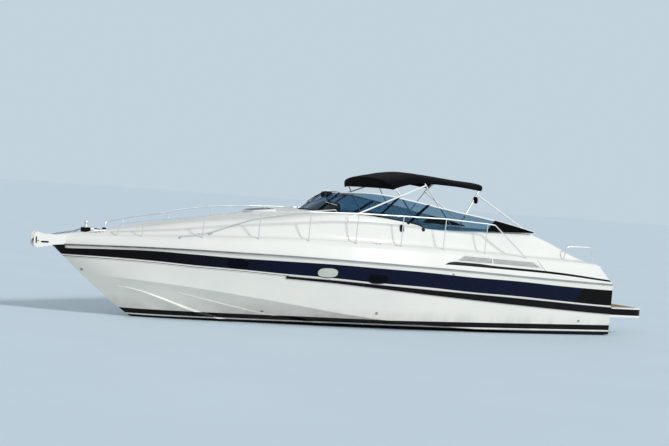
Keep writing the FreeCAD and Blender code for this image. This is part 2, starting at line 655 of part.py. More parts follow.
intake_corners = [side_of_deck(x, z) for x, z in INTAKE_SHARES]
intake_along = (intake_corners[3] - intake_corners[2]).normalize()
intake_rise = intake_corners[0] + intake_corners[1] - intake_corners[2] - intake_corners[3]
intake_out = intake_along.cross(intake_rise)
intake_out = intake_out.normalize() * math.copysign(1, intake_out.y)
intake_up = intake_out.cross(intake_along)
intake_up = intake_up * math.copysign(1, intake_up.z)
intake_middle = sum(intake_corners, Vector()) * (1 / len(intake_corners))


def intake_prism(inset, inner, outer):
    """Give the intake's outline, moved in from its edge, between two depths below the side."""
    flat = []
    for corner in intake_corners:
        arm = corner - intake_middle
        flat.append(intake_middle + intake_along * arm.dot(intake_along) + intake_up * arm.dot(intake_up))
    outline = Part.Face(Part.makePolygon(flat + [flat[0]]))
    if inset:
        outline = outline.makeOffset2D(-inset, 2)
    outline.translate(intake_out * -inner)
    return outline.extrude(intake_out * (inner - outer))


def air_intake():
    """Make the port air intake: a tray with sloping louvres and a divider."""
    tray = intake_prism(0, S.intake_depth, 0)
    space = intake_prism(S.intake_frame, S.intake_depth - S.intake_back, 0)
    length = (intake_corners[3] - intake_corners[2]).Length
    height = (intake_corners[0] - intake_corners[3]).Length
    slope = math.radians(S.louvre_tilt)
    inward = (intake_up * math.sin(slope) - intake_out * math.cos(slope)) * S.louvre_depth
    thick = intake_up * S.louvre_thickness
    slats = []
    for number in range(-math.ceil(height / S.louvre_pitch), math.ceil(height / S.louvre_pitch)):
        start = intake_middle - intake_along * length + intake_up * (number * S.louvre_pitch)
        section = Part.makePolygon([start, start + thick, start + thick + inward, start + inward, start])
        slats.append(Part.Face(section).extrude(intake_along * (2 * length)))
    post = intake_corners[3] + (intake_corners[2] - intake_corners[3]) * INTAKE_DIVIDER_SHARE
    foot = post - intake_along * (S.intake_frame / 2) - intake_out * S.intake_depth - intake_up * height
    divider = Part.makePolygon([foot, foot + intake_along * S.intake_frame,
                                foot + intake_along * S.intake_frame + intake_up * (3 * height),
                                foot + intake_up * (3 * height), foot])
    slats.append(Part.Face(divider).extrude(intake_out * S.intake_depth))
    inside = [slat.common(space) for slat in slats]
    return largest(tray.cut(space).multiFuse([slat for slat in inside if slat.Solids]))


def largest(shape):
    """Keep the largest solid that a trim leaves."""
    return max(shape.Solids, key=lambda solid: solid.Volume)


port_recess = intake_prism(0, S.intake_depth, -S.overrun)
doc.recompute()
deck_skin = feature("deck_moulding_form", deck_solid)
hull_skin = feature("hull_form", hull_solid)
intake_recesses = feature("intake_recesses", both_sides(port_recess))
deck_made = publish("deck_moulding", cut(
    "deck_moulding_cut", deck_skin, cockpit_well, sunpad_recess, passage, engine_hatch, cabin, hatch_hole,
    intake_recesses))
hull_made = publish("hull", cut("hull_cut", hull_skin, cockpit_well, passage, engine_room, engine_hatch, cabin))
port_intake = air_intake()
node("air_intake_port", port_intake)
node("air_intake_starboard", port_intake.mirror(Vector(), Y_AXIS))


def seated(shape, on=None):
    """Trim a piece to the surface that carries it."""
    return shape.cut(on or deck_solid)


def beam_at(x):
    """Give half the beam at the joint, in millimetres."""
    return S.half_beam * half_beam_at(x / S.half_length)


# Rubbing strakes on the topsides and the rail over the joint

STRAKE_TOP_SHARES = ((-1.02, 0.445), (-0.6, 0.55), (-0.2, 0.636), (0.13, 0.71), (0.29, 0.735))
STRAKE_BOTTOM_SHARES = ((-1.02, 0.335), (-0.6, 0.445), (-0.2, 0.564), (0.13, 0.67), (0.29, 0.7))
strake_top_at, strake_bottom_at = fair(STRAKE_TOP_SHARES), fair(STRAKE_BOTTOM_SHARES)
STRAKE_END_SHARES = (0.29, -1.05)

prism = band_prism(lambda x: S.freeboard * strake_top_at(x / S.half_length),
                   lambda x: S.freeboard * strake_bottom_at(x / S.half_length),
                   *[S.half_length * share for share in STRAKE_END_SHARES])
strakes = hull_form(S.strake_depth).common(prism).cut(hull_solid)
node("rubbing_strakes", strakes)

JOINT_RAIL_SHARES = (-0.998, 0.985)


def joint_rail():
    """Make the port rail over the joint of hull and deck."""
    rows = []
    for out in (S.rub_rail_depth, -S.rub_rail_root):
        line = line_of(S.half_length * JOINT_RAIL_SHARES[0], S.half_length * JOINT_RAIL_SHARES[1],
                       lambda x: S.half_beam * half_beam_at(x), lambda x: S.freeboard * sheer_at(x))
        for up in SIDES:
            rows.append([Vector(p.x, max(p.y + out, 0), p.z + up * S.rub_rail_height / 2) for p in line])
    rail = slab(rows[:2], rows[2:], LENGTHWISE, 1).cut(deck_solid).cut(hull_solid)
    return largest(rail.cut(cheeks.Shape))


SPRAY_RAIL_SHARES = (
    ((0.79, 0.2), (0.72, 0.27), (0.6, 0.315), (0.4, 0.33), (0.1, 0.34), (-0.3, 0.34)),
    ((0.61, 0.4), (0.5, 0.455), (0.37, 0.5), (0.15, 0.54), (-0.2, 0.56), (-0.9, 0.56)),
)
SPRAY_TIP_SHARE = 0.02
SPRAY_TAPER_SHARE = 0.25


def bottom_height(x, y):
    """Give the height of the hull's bottom panel at a place inside the chine flat."""
    share = x / S.half_length
    width = S.chine_flat * chine_flat_at(share)
    reach = S.half_beam * chine_beam_at(share) - width
    edge = S.freeboard * chine_at(share) - width * chine_drop_at(share)
    return S.keel_depth * keel_at(share) + (edge - S.keel_depth * keel_at(share)) * y / reach


def spray_rail(shares):
    """Make one port spray rail: a wedge with a level underside."""
    beam = fair(tuple(sorted(shares)))
    fore, aft = S.half_length * shares[0][0], S.half_length * shares[-1][0]
    corners = [[], [], []]
    for share in STATION_SHARES:
        x = fore + (aft - fore) * share
        outer = S.half_beam * beam(x / S.half_length)
        width = S.spray_rail_width * min(1, (share + SPRAY_TIP_SHARE) / SPRAY_TAPER_SHARE)
        low = bottom_height(x, outer - width)
        side = bottom_height(x, outer) + width
        for row, (y, z) in zip(corners, ((outer - 2 * width, low), (outer, low), (outer - width, side))):
            row.append(Vector(x, y, z))
    sides = [skin([corners[i], corners[(i + 1) % 3]], LENGTHWISE, 1) for i in range(3)]
    ends = [Part.Face(Part.makePolygon([row[i] for row in corners] + [corners[0][i]])) for i in (0, -1)]
    return largest(closed(sides + ends).cut(hull_solid))


node("spray_rails", Part.Compound([both_sides(spray_rail(shares)) for shares in SPRAY_RAIL_SHARES]))


# Swim platform

platform = rounded("platform_corners", box(
    "platform_box", "platform_length + transom_rake + overrun", "2 * platform_half_width", "platform_thickness",
    "-half_length - transom_rake - platform_length", "-platform_half_width", "platform_top - platform_thickness"),
    "platform_corner", lambda e: upright(e) and e.Vertexes[0].X < -S.half_length - S.transom_rake)
publish("swim_platform", cut("swim_platform_cut", platform, hull_skin))

# Bow platform with its cheeks and the roller

tip = "half_length + bow_platform_reach"
crown = "bow_platform_base + bow_platform_height"
cheeks = body_of(
    "bow_block", "XZ_Plane",
    (("half_length - bow_platform_root", "bow_platform_base - bow_pan"),
     ("half_length + bow_pan", "bow_platform_base + bow_pan"),
     (tip + " - roller_radius", "bow_platform_base"), (tip, "bow_platform_base + bow_pan"),
     (tip, crown + " - bow_pan"), (tip + " - bow_cheek", crown),
     ("half_length + bow_platform_reach / 2", crown + " - bow_cheek"),
     ("half_length - bow_platform_root", crown + " - bow_cheek")),
    "2 * bow_platform_half_width", symmetric=True)
gullet = box("bow_gullet", "bow_platform_reach + 2 * overrun", "2 * bow_platform_half_width - 2 * bow_cheek",
             "bow_platform_height", "half_length - overrun", "-bow_platform_half_width + bow_cheek",
             "bow_platform_base + 2 * bow_pan")
roller_slot = box("roller_slot", "overrun", "2 * bow_platform_half_width - 2 * bow_cheek",
                  "bow_platform_height", "half_length + bow_platform_reach - 3 * roller_radius",
                  "-bow_platform_half_width + bow_cheek", "bow_platform_base - bow_pan")
roller_pin_hole = cylinder(
    "roller_pin_hole", "pin_radius", "2 * bow_platform_half_width",
    "half_length + bow_platform_reach - 1.5 * roller_radius", "-bow_platform_half_width",
    "bow_platform_base + bow_platform_height / 2 - roller_radius / 2")
roller_pin_hole.Placement.Rotation = Rotation(Z_AXIS, Y_AXIS)
roller_place = Vector(S.half_length + S.bow_platform_reach - 1.5 * S.roller_radius, 0,
                      S.bow_platform_base + S.bow_platform_height / 2 - S.roller_radius / 2)
publish("bow_platform", cut("bow_platform_cut", cheeks, gullet, roller_slot, roller_pin_hole,
                            fuse("joined_skin", deck_made, hull_made)))
roller_half = S.bow_platform_half_width - S.bow_cheek - S.roller_gap
pin_half = S.bow_platform_half_width + S.pin_head
roller = Part.makeCylinder(S.roller_radius, 2 * roller_half, roller_place - Y_AXIS * roller_half, Y_AXIS)
pin = Part.makeCylinder(S.pin_radius, 2 * pin_half, roller_place - Y_AXIS * pin_half, Y_AXIS)
node("bow_roller", roller.fuse(pin))
doc.recompute()
node("joint_rails", both_sides(joint_rail()))

# Windlass

DRUM_SHARES = ((0, 1), (0.12, 1), (0.4, 0), (0.7, 0), (0.85, 0.8), (1, 0.45))

windlass_z = height_on_deck(S.windlass_place, 0)
base = Part.makeCylinder(S.windlass_base_radius, S.windlass_base_height + S.foot_depth,
                         Vector(S.windlass_place, 0, windlass_z - S.foot_depth))
node("windlass_base", seated(base))
drum_foot = windlass_z + S.windlass_base_height + S.seat_gap
outline = [Vector(S.windlass_place + S.capstan_waist + (S.capstan_radius - S.capstan_waist) * out, 0,
                  drum_foot + S.capstan_height * up) for up, out in DRUM_SHARES]
outline = [Vector(S.windlass_place, 0, drum_foot)] + outline + [
    Vector(S.windlass_place, 0, drum_foot + S.capstan_height)]
drum = Part.Face(Part.makePolygon(outline + [outline[0]]))
node("windlass_capstan", drum.revolve(Vector(S.windlass_place, 0, 0), Z_AXIS, 360))

# Cleats

CLEAT_PLACE_SHARES = ((0.86, 0.45), (-0.03, 0.88), (-0.955, 0.84))


def cleat(x, y):
    """Make a horn cleat on two feet."""
    z = height_on_deck(x, y)
    horns = rod(Vector(x - S.cleat_length / 2, y, z + S.cleat_height - S.cleat_radius),
                Vector(x + S.cleat_length / 2, y, z + S.cleat_height - S.cleat_radius), S.cleat_radius)
    feet = [Part.makeCylinder(S.cleat_radius, S.cleat_height + S.foot_depth - S.cleat_radius,
                              Vector(x + side * S.cleat_length / 6, y, z - S.foot_depth)) for side in SIDES]
    return seated(horns.multiFuse(feet))


cleats = [cleat(S.half_length * x, side * beam_at(S.half_length * x) * share)
          for x, share in CLEAT_PLACE_SHARES for side in SIDES]
node("cleats", Part.Compound(cleats))

# Side rails

RAIL_SHARES = ((0.805, 1.31), (0.745, 1.362), (0.7, 1.4), (0.588, 1.468), (0.52, 1.532), (0.393, 1.614),
               (0.225, 1.662), (0.058, 1.686), (-0.11, 1.69), (-0.28, 1.69), (-0.448, 1.657), (-0.48, 1.645),
               (-0.62, 1.28))
STANCHION_SHARES = (0.738, 0.559, 0.385, 0.221, 0.056, -0.113, -0.279, -0.449)
rail_height_at = fair(tuple(sorted(RAIL_SHARES[:-1])))


def side_rail():
    """Make the port side rail with its stanchions and their feet."""
    top = [Vector(S.half_length * x, beam_at(S.half_length * x) - S.rail_inset, S.freeboard * z)
           for x, z in RAIL_SHARES]
    sunk = S.foot_depth / 2
    start = Vector(top[0].x + S.rail_bend / 2, top[0].y - S.rail_bend / 2, 0)
    start.z = height_on_deck(start.x, start.y) - sunk
    end = Vector(top[-1].x - S.rail_bend / 2, top[-1].y, height_on_deck(top[-1].x, top[-1].y) - sunk)
    pieces = [tube([start] + top[:-1] + [end], S.rail_radius, S.rail_bend)]
    for share in STANCHION_SHARES:
        x = S.half_length * share
        head = Vector(x, beam_at(x) - S.rail_inset, S.freeboard * rail_height_at(share))
        y = beam_at(x) - S.stanchion_inset
        foot = Vector(x, y, height_on_deck(x, y))
        pieces.append(rod(foot, head, S.stanchion_radius))
        pieces.append(Part.makeCylinder(S.rail_foot_radius, S.rail_foot_height + S.foot_depth,
                                        Vector(x, y, foot.z - S.foot_depth)))
    return largest(seated(pieces[0].multiFuse(pieces[1:])))


port_rail = side_rail()
node("side_rail_port", port_rail)
node("side_rail_starboard", port_rail.mirror(Vector(), Y_AXIS))

# Grab rails on the coach roof

GRAB_SHARES = (0.63, 0.53, 0.37, 0.22, 0.08)


def grab_rail():
    """Make the port grab rail on its posts."""
    y = S.grab_rail_offset
    tops = [Vector(S.half_length * x, y, height_on_deck(S.half_length * x, y) + S.grab_rail_height)
            for x in GRAB_SHARES]
    ends = [Vector(p.x, p.y, p.z - S.grab_rail_height - S.foot_depth / 2) for p in (tops[0], tops[-1])]
    bar = tube([ends[0]] + tops + [ends[1]], S.grab_rail_radius, S.rail_bend / 3)
    posts = [rod(Vector(p.x, p.y, p.z - S.grab_rail_height - S.foot_depth / 2), p, S.grab_rail_radius)
             for p in tops[1:-1]]
    return largest(seated(bar.multiFuse(posts)))


node("coach_roof_grab_rails", both_sides(grab_rail()))

# Windscreen

SCREEN_SHARES = (0, 0.12, 0.25, 0.38, 0.5, 0.62, 0.75, 0.88, 1)
SCREEN_FOOT_X_SHARES = (0.118, 0.108, 0.074, 0.016, -0.066, -0.197, -0.344, -0.508, -0.68)
SCREEN_FOOT_Y_SHARES = (0, 0.239, 0.452, 0.612, 0.702, 0.731, 0.737, 0.731, 0.718)
SCREEN_FOOT_Z_SHARES = (1.675, 1.679, 1.682, 1.682, 1.664, 1.6, 1.571, 1.571, 1.557)
SCREEN_TOP_X_SHARES = (0.034, 0.026, 0.003, -0.041, -0.115, -0.23, -0.377, -0.525, -0.684)
SCREEN_TOP_Y_SHARES = (0, 0.202, 0.388, 0.532, 0.617, 0.646, 0.665, 0.691, 0.715)
SCREEN_TOP_Z_SHARES = (1.957, 1.961, 1.975, 1.989, 1.964, 1.889, 1.793, 1.704, 1.571)
SCREEN_STEPS = 24
SCREEN_SLOPE_SHARE = 0.01


def screen_line(xs, ys, zs):
    """Give a point on one edge of the screen, from starboard end -1 to port end 1."""
    curves = [fair(tuple(zip(SCREEN_SHARES, values))) for values in (xs, ys, zs)]

    def point(t):
        x, y, z = [curve(abs(t)) for curve in curves]
        return Vector(S.half_length * x, math.copysign(S.half_beam * y, t), S.freeboard * z)

    return point


screen_foot = screen_line(SCREEN_FOOT_X_SHARES, SCREEN_FOOT_Y_SHARES, SCREEN_FOOT_Z_SHARES)
screen_top = screen_line(SCREEN_TOP_X_SHARES, SCREEN_TOP_Y_SHARES, SCREEN_TOP_Z_SHARES)


def on_screen(t, rise, out):
    """Give a point on the screen: along it, up it, and out from its face."""
    foot, top = screen_foot(t), screen_top(t)
    ahead, behind = min(t + SCREEN_SLOPE_SHARE, 1), max(t - SCREEN_SLOPE_SHARE, -1)
    run = (screen_foot(ahead) + screen_top(ahead)) - (screen_foot(behind) + screen_top(behind))
    outward = run.cross(top - foot + Z_AXIS * S.mullion_width)
    outward.normalize()
    return foot + (top - foot) * rise + outward * out


def screen_slab(starts, ends, low, high, inner, outer, steps):
    """Make a panel that follows the screen between two places along it."""
    rows = [[], [], [], []]
    for i in range(steps + 1):
        share = i / steps
        low_t = starts[0] + (ends[0] - starts[0]) * share
        high_t = starts[1] + (ends[1] - starts[1]) * share
        for row, (t, rise, out) in zip(rows, ((low_t, low, outer), (high_t, high, outer),
                                              (low_t, low, inner), (high_t, high, inner))):
            row.append(on_screen(t, rise, out))
    return slab(rows[:2], rows[2:], LENGTHWISE, 1)


SCREEN_OVERLAP_SHARE = 0.25
rail_points = [screen_top(-1 + 2 * i / SCREEN_STEPS) for i in range(SCREEN_STEPS + 1)]
screen_rail = tube(rail_points, S.screen_rail_radius, S.half_beam)
glass = screen_slab((-1, -1), (1, 1), -SCREEN_OVERLAP_SHARE, 1, -S.glass_thickness / 2,
                    S.glass_thickness / 2, SCREEN_STEPS)
node("windscreen_glass", largest(seated(glass.cut(screen_rail))))
node("windscreen_rail", largest(seated(screen_rail)))

MULLION_SHARES = ((0.475, 0.525), (0.585, 0.64))
CENTRE_SHARES = ((0.12, 0.12),)
QUARTER_START_SHARES = (0.86, 0.875)


def screen_panels():
    """Make the port mullions and the black quarter panel outside the glass."""
    inner, outer = S.glass_thickness / 2, S.glass_thickness / 2 + S.mullion_depth
    half = S.mullion_width / S.half_length / 2
    made = [screen_slab((low - half, high - half), (low + half, high + half), -SCREEN_OVERLAP_SHARE, 1, inner,
                        outer, LENGTHWISE) for low, high in MULLION_SHARES + CENTRE_SHARES]
    made.append(screen_slab(QUARTER_START_SHARES, (1, 1), -SCREEN_OVERLAP_SHARE, 1, inner, outer, 2 * LENGTHWISE))
    return [largest(seated(panel.cut(screen_rail))) for panel in made]


port_panels = screen_panels()
node("windscreen_mullions", Part.Compound([both_sides(panel) for panel in port_panels]))

# Dashboard moulding on the deck, inside the screen

DASH_STEPS = 16
DASH_END_SHARE = 0.42


def dashboard():
    """Make a black moulding that lies on the deck between the screen and the cockpit."""
    outline = []
    for i in range(DASH_STEPS + 1):
        foot = screen_foot(DASH_END_SHARE * (2 * i / DASH_STEPS - 1))
        outline.append(Vector(foot.x - S.dash_margin, foot.y * (1 - S.dash_margin / S.cockpit_half_width), 0))
    edge = S.cockpit_front + S.liner_wall
    outline += [Vector(edge, outline[-1].y, 0), Vector(edge, outline[0].y, 0)]
    prism = Part.Face(Part.makePolygon(outline + [outline[0]])).extrude(Z_AXIS * (S.freeboard * 2))
    raised = deck_solid.copy()
    raised.translate(Z_AXIS * S.dash_skin)
    return largest(prism.common(raised).cut(deck_solid))


node("dashboard", dashboard())

# Bimini top: bows, canopy and struts

CANOPY_LENGTH_SHARES = (0, 0.1, 0.33, 0.68, 1)
CANOPY_HEM_SHARES = (2.07, 2.13, 2.2, 2.19, 2.15)
CANOPY_CREST_SHARES = (2.24, 2.31, 2.365, 2.325, 2.28)
CANOPY_FRONT_SHARES = (-0.118, -0.096)
CANOPY_AFT_SHARES = (-0.475, -0.497)
CANOPY_SECTION_SHARES = ((1, 0), (0.99, 0.3), (0.88, 0.66), (0.62, 0.86), (0.3, 0.97), (0, 1))
CANOPY_STEPS = 6
hem_at = fair(tuple(zip(CANOPY_LENGTH_SHARES, CANOPY_HEM_SHARES)))
ridge_at = fair(tuple(zip(CANOPY_LENGTH_SHARES, CANOPY_CREST_SHARES)))


def canopy_rows(drop):
    """Give the canopy's lines from port hem to starboard hem."""
    rows = []
    for across, up in CANOPY_SECTION_SHARES:
        front, aft = [S.half_length * (hem + (ridge - hem) * up)
                      for hem, ridge in (CANOPY_FRONT_SHARES, CANOPY_AFT_SHARES)]
        row = []
        for i in range(CANOPY_STEPS + 1):
            share = i / CANOPY_STEPS
            hem, ridge = S.freeboard * hem_at(share), S.freeboard * ridge_at(share)
            row.append(Vector(front + (aft - front) * share, (S.bimini_half_width - drop) * across,
                              hem + (ridge - hem) * up - drop * up))
        rows.append(row)
    return rows + [mirrored(row) for row in reversed(rows[:-1])]


canopy_lining = skin(canopy_rows(S.canopy_thickness), LENGTHWISE, 2)
canopy_cloth = slab(canopy_rows(0), canopy_rows(S.canopy_thickness), LENGTHWISE, 2)
BOW_FOOT_SHARES = (-0.216, -0.358)
BOW_HEAD_SHARES = ((-0.129, 2.1), (-0.245, 2.19), (-0.468, 2.16))
BOW_STEPS = 25
front_foot_x, main_foot_x = [S.half_length * share for share in BOW_FOOT_SHARES]
bow_feet = (front_foot_x, main_foot_x, main_foot_x - S.bimini_foot_spread)
BOWS = {name: (foot_x, *head) for name, foot_x, head in zip(
    ("bimini_front_bow", "bimini_main_bow", "bimini_aft_bow"), bow_feet, BOW_HEAD_SHARES)}


def bimini_bow(foot_x, head_share, hem_share):
    """Make a flat hoop that leans from its feet and follows the canopy's lining."""
    foot = Vector(foot_x, S.bimini_foot_offset, height_on_deck(foot_x, S.bimini_foot_offset) - S.foot_depth)
    head = Vector(S.half_length * head_share, foot.y, S.freeboard * hem_share)
    lean = (head - foot).normalize()
    across = lean.cross(Y_AXIS).normalize()
    section = canopy_lining.slice(across, across.dot(foot))[0]
    line = section.discretize(Number=BOW_STEPS)
    if line[0].y < line[-1].y:
        line.reverse()
    centre = Vector(foot.x, 0, foot.z)
    moved = []
    for number, point in enumerate(line):
        ahead, behind = line[min(number + 1, len(line) - 1)], line[max(number - 1, 0)]
        inward = (ahead - behind).cross(across).normalize()
        inward = inward * math.copysign(1, inward.dot(centre - point))
        moved.append(point + inward * (S.bimini_tube_radius - S.bow_bite))
    half = [foot] + [p for p in moved if p.y > S.foot_depth]
    points = half + [Vector(p.x, -p.y, p.z) for p in reversed(half)]
    hoop = tube(points, S.bimini_tube_radius, S.bimini_half_width)
    plates = [Part.makeCylinder(S.rail_foot_radius, S.rail_foot_height + S.foot_depth,
                                Vector(foot.x, side * foot.y, foot.z)) for side in SIDES]
    return largest(seated(hoop.multiFuse(plates)))


bows = {}
for name, values in BOWS.items():
    bows[name] = bimini_bow(*values)
    node(name, bows[name])
node("canopy", largest(canopy_cloth.cut(Part.Compound(list(bows.values())))))

STRUT_SHARES = ((0.07, 0.752, "bimini_main_bow", 0.03), (-0.685, 0.685, "bimini_aft_bow", 0.12))


def bimini_strut(foot_share, beam_share, bow_name, below_hem_share):
    """Make a port strut from the coaming up to a bow, just under the hem."""
    foot_x = S.half_length * foot_share
    foot_y = beam_at(foot_x) * beam_share
    foot = Vector(foot_x, foot_y, height_on_deck(foot_x, foot_y))
    bow_foot_x, head_share, hem_share = BOWS[bow_name]
    bow_foot_z = height_on_deck(bow_foot_x, S.bimini_foot_offset)
    head = Vector(S.half_length * head_share, S.bimini_half_width, S.freeboard * hem_share)
    bow_foot = Vector(bow_foot_x, S.bimini_foot_offset, bow_foot_z)
    top = head + (bow_foot - head) * below_hem_share
    direction = (top - foot).normalize()
    bar = rod(foot - direction * S.foot_depth, top, S.strut_radius)
    plate = Part.makeCylinder(S.rail_foot_radius, S.rail_foot_height + S.foot_depth,
                              foot - Z_AXIS * S.foot_depth)
    return largest(seated(bar.fuse(plate)).cut(bows[bow_name]))


node("bimini_struts", Part.Compound([both_sides(bimini_strut(*values)) for values in STRUT_SHARES]))

# Underwater gear

shaft_slope = math.radians(S.shaft_angle)
shaft_axis = Vector(math.cos(shaft_slope), 0, math.sin(shaft_slope))
propeller_centre = Vector(-S.propeller_place, S.engine_spread, -S.propeller_depth)


def on_shaft(place):
    """Give the point on the port shaft's axis at a place aft of amidships."""
    return propeller_centre + shaft_axis * ((S.propeller_place - place) / math.cos(shaft_slope))


BLADE_SHARES = ((0.16, 0.55, 62), (0.5, 0.95, 40), (0.8, 0.85, 28), (1, 0.3, 22))
BLADE_TAPER_SHARE = 1.15
BLADE_ANGLES = (0, 90, 180, 270)


def blade(angle):
    """Make one twisted propeller blade about the shaft's axis."""
    sections = []
    for radius_share, chord_share, pitch in BLADE_SHARES:
        radius = S.propeller_radius * radius_share
        half, thick = S.blade_chord * chord_share / 2, S.blade_thickness * (BLADE_TAPER_SHARE - radius_share) / 2
        corners = [Vector(-half, 0, 0), Vector(0, thick, 0), Vector(half, 0, 0), Vector(0, -thick, 0)]
        turned = [Rotation(Z_AXIS, pitch).multVec(c) + Z_AXIS * radius for c in corners]
        sections.append(Part.makePolygon(turned + [turned[0]]))
    return Part.makeLoft(sections, True, False).rotate(Vector(), X_AXIS, angle)


def propeller():
    """Make the port propeller with its shaft, along the shaft's axis."""
    hub = Part.makeCone(S.propeller_hub_tail, S.propeller_hub_radius, S.propeller_hub_length,
                        Vector(-S.propeller_hub_length / 2, 0, 0), X_AXIS)
    length = (S.propeller_place - S.stern_tube_place) / math.cos(shaft_slope)
    shaft = Part.makeCylinder(S.shaft_radius, length + S.bearing_length, Vector(0, 0, 0), X_AXIS)
    shape = hub.multiFuse([shaft] + [blade(angle) for angle in BLADE_ANGLES])
    shape.rotate(Vector(), Y_AXIS, -S.shaft_angle)
    shape.translate(propeller_centre)
    return shape


port_propeller = propeller()
node("propeller_port", port_propeller)
node("propeller_starboard", port_propeller.mirror(Vector(), Y_AXIS))

bore = rod(on_shaft(S.propeller_place), on_shaft(S.stern_tube_place - S.bearing_length - S.seat_gap),
           S.shaft_radius + S.running_gap)
barrel_start = on_shaft(S.bearing_place + S.bearing_length / 2)
barrel = rod(barrel_start, barrel_start + shaft_axis * S.bearing_length, S.bearing_radius)
strut = Part.makeBox(S.bracket_chord, S.bracket_thickness, S.propeller_depth,
                     Vector(-S.bearing_place - S.bracket_chord / 2, S.engine_spread - S.bracket_thickness / 2,
                            on_shaft(S.bearing_place).z))
bracket = barrel.fuse(strut).cut(bore).cut(hull_solid)
node("shaft_brackets", both_sides(largest(bracket)))

tube_start = on_shaft(S.stern_tube_place)
stern_tube = rod(tube_start, tube_start + shaft_axis * S.stern_tube_length, S.stern_tube_radius)
node("stern_tubes", both_sides(largest(stern_tube.cut(bore).cut(hull_solid))))


RUDDER_SHARES = ((0, 1), (1, 0.72))


def rudder():
    """Make the port rudder: a tapered blade under its stock."""
    rows = []
    for down, share in RUDDER_SHARES:
        z = S.rudder_top - S.rudder_height * down
        nose = Vector(-S.rudder_place + S.rudder_balance * share, S.engine_spread, z)
        tail = Vector(-S.rudder_place - (S.rudder_chord - S.rudder_balance) * share, S.engine_spread, z)
        side = Vector(0, S.rudder_thickness / 2 * share, 0)
        stock = Vector(-S.rudder_place, S.engine_spread, z)
        rows.append(Part.makePolygon([nose, stock + side, tail, stock - side, nose]))
    return Part.makeLoft(rows, True, True)


rudder_head = S.rudder_top + S.rudder_clearance
stock_x, stock_y = -S.rudder_place, S.engine_spread
ray = Part.makeLine(Vector(stock_x, stock_y, -S.keel_depth), Vector(stock_x, stock_y, S.freeboard / 2))
bottom_z = min(v.Z for v in ray.common(hull_solid).Vertexes)
stock = Part.makeCylinder(S.rudder_stock_radius, rudder_head - S.rudder_top + S.rudder_clearance,
                          Vector(stock_x, stock_y, S.rudder_top))
port_rudder = rudder().fuse(stock)
node("rudder_port", port_rudder)
node("rudder_starboard", port_rudder.mirror(Vector(), Y_AXIS))
boss = Part.makeCylinder(S.rudder_boss_radius, S.keel_depth, Vector(stock_x, stock_y, rudder_head))
boss_bore = Part.makeCylinder(S.rudder_stock_radius + S.running_gap, S.rudder_clearance + S.seat_gap,
                              Vector(stock_x, stock_y, rudder_head))
node("rudder_ports", both_sides(largest(boss.cut(boss_bore).cut(hull_solid))))

# Engines

engines = [box(f"engine_{name}", "engine_length", "engine_width", "engine_height",
               "-engine_bay_aft + engine_bay_length / 2 - engine_length / 2",
               f"{sign}engine_spread - engine_width / 2", "engine_bay_floor")
           for name, sign in (("port", ""), ("starboard", "-"))]
doc.recompute()
node("engines", Part.Compound([engine.Shape for engine in engines]))

# Cockpit liner with its companionway and the way aft

liner_parts = []
for carrier_name, carrier in (("deck", deck_skin), ("hull", hull_skin)):
    liner_part = doc.addObject("Part::Common", f"liner_in_{carrier_name}")
    liner_part.Base, liner_part.Tool = cockpit_well, carrier
    liner_parts.append(liner_part)
liner_block = fuse("liner_block", *liner_parts)
liner_space = rounded("liner_space", box(
    "liner_space_box", "cockpit_length", "2 * cockpit_half_width", "freeboard * 2",
    "cockpit_front - cockpit_length", "-cockpit_half_width", "sole_height"), "well_corner", upright)
liner_low_back = box(
    "liner_low_back", "2 * liner_wall + well_corner", "2 * cockpit_half_width + 4 * liner_wall",
    "freeboard * 2", "cockpit_front - cockpit_length - 2 * liner_wall",
    "-cockpit_half_width - 2 * liner_wall", "sunpad_level")
liner_way_aft = box("liner_way_aft", "4 * liner_wall", "passage_width", "freeboard * 2",
                    "cockpit_front - cockpit_length - 2 * liner_wall", "-sunpad_half_width", "sole_height")
companionway = box("companionway", "4 * liner_wall", "door_width", "door_height",
                   "cockpit_front - 2 * liner_wall", "0", "sole_height + door_sill")
publish("cockpit_liner", cut("cockpit_liner_cut", liner_block, liner_space, liner_low_back, liner_way_aft,
                             companionway))

# Companionway door on its track

publish("companionway_door", box(
    "companionway_door_panel", "door_thickness", "door_width + 2 * door_lap", "door_height + 2 * door_lap",
    "cockpit_front - door_gap - door_thickness", "-door_lap",
    "sole_height + door_sill - door_lap"))
publish("door_track", box(
    "door_track_bar", "door_thickness + door_gap", "door_width + 2 * door_lap + door_travel",
    "door_sill - door_lap - seat_gap", "cockpit_front - door_gap - door_thickness",
    "-door_lap", "sole_height"))

# Helm

CONSOLE_TOP_SHARE = 1 / 3
CONSOLE_LIP_SHARE = 0.72
CONSOLE_KNEE_SHARES = (0.94, 0.55)
CONSOLE_FOOT_SHARE = 0.6

publish("helm_console", body_of(
    "helm_console_body", "XZ_Plane",
    (("cockpit_front", "sole_height"), ("cockpit_front", "sole_height + console_height"),
     (f"cockpit_front - console_depth * {CONSOLE_TOP_SHARE}", "sole_height + console_height"),
     ("cockpit_front - console_depth", f"sole_height + console_height * {CONSOLE_LIP_SHARE}"),
     (f"cockpit_front - console_depth * {CONSOLE_KNEE_SHARES[0]}",
      f"sole_height + console_height * {CONSOLE_KNEE_SHARES[1]}"),
     (f"cockpit_front - console_depth * {CONSOLE_FOOT_SHARE}", "sole_height")),
    "console_width", "console_inset"))

wheel_y = -(S.console_inset + S.console_width / 2)
face_low = Vector(S.cockpit_front - S.console_depth, 0, S.sole_height + S.console_height * CONSOLE_LIP_SHARE)
face_high = Vector(S.cockpit_front - S.console_depth * CONSOLE_TOP_SHARE, 0, S.sole_height + S.console_height)
face_middle = (face_low + face_high) * 0.5
face_normal = Vector(face_low.z - face_high.z, 0, face_high.x - face_low.x).normalize()
column_foot = Vector(face_middle.x, wheel_y, face_middle.z)


SPOKE_ANGLES = (90, 210, 330)


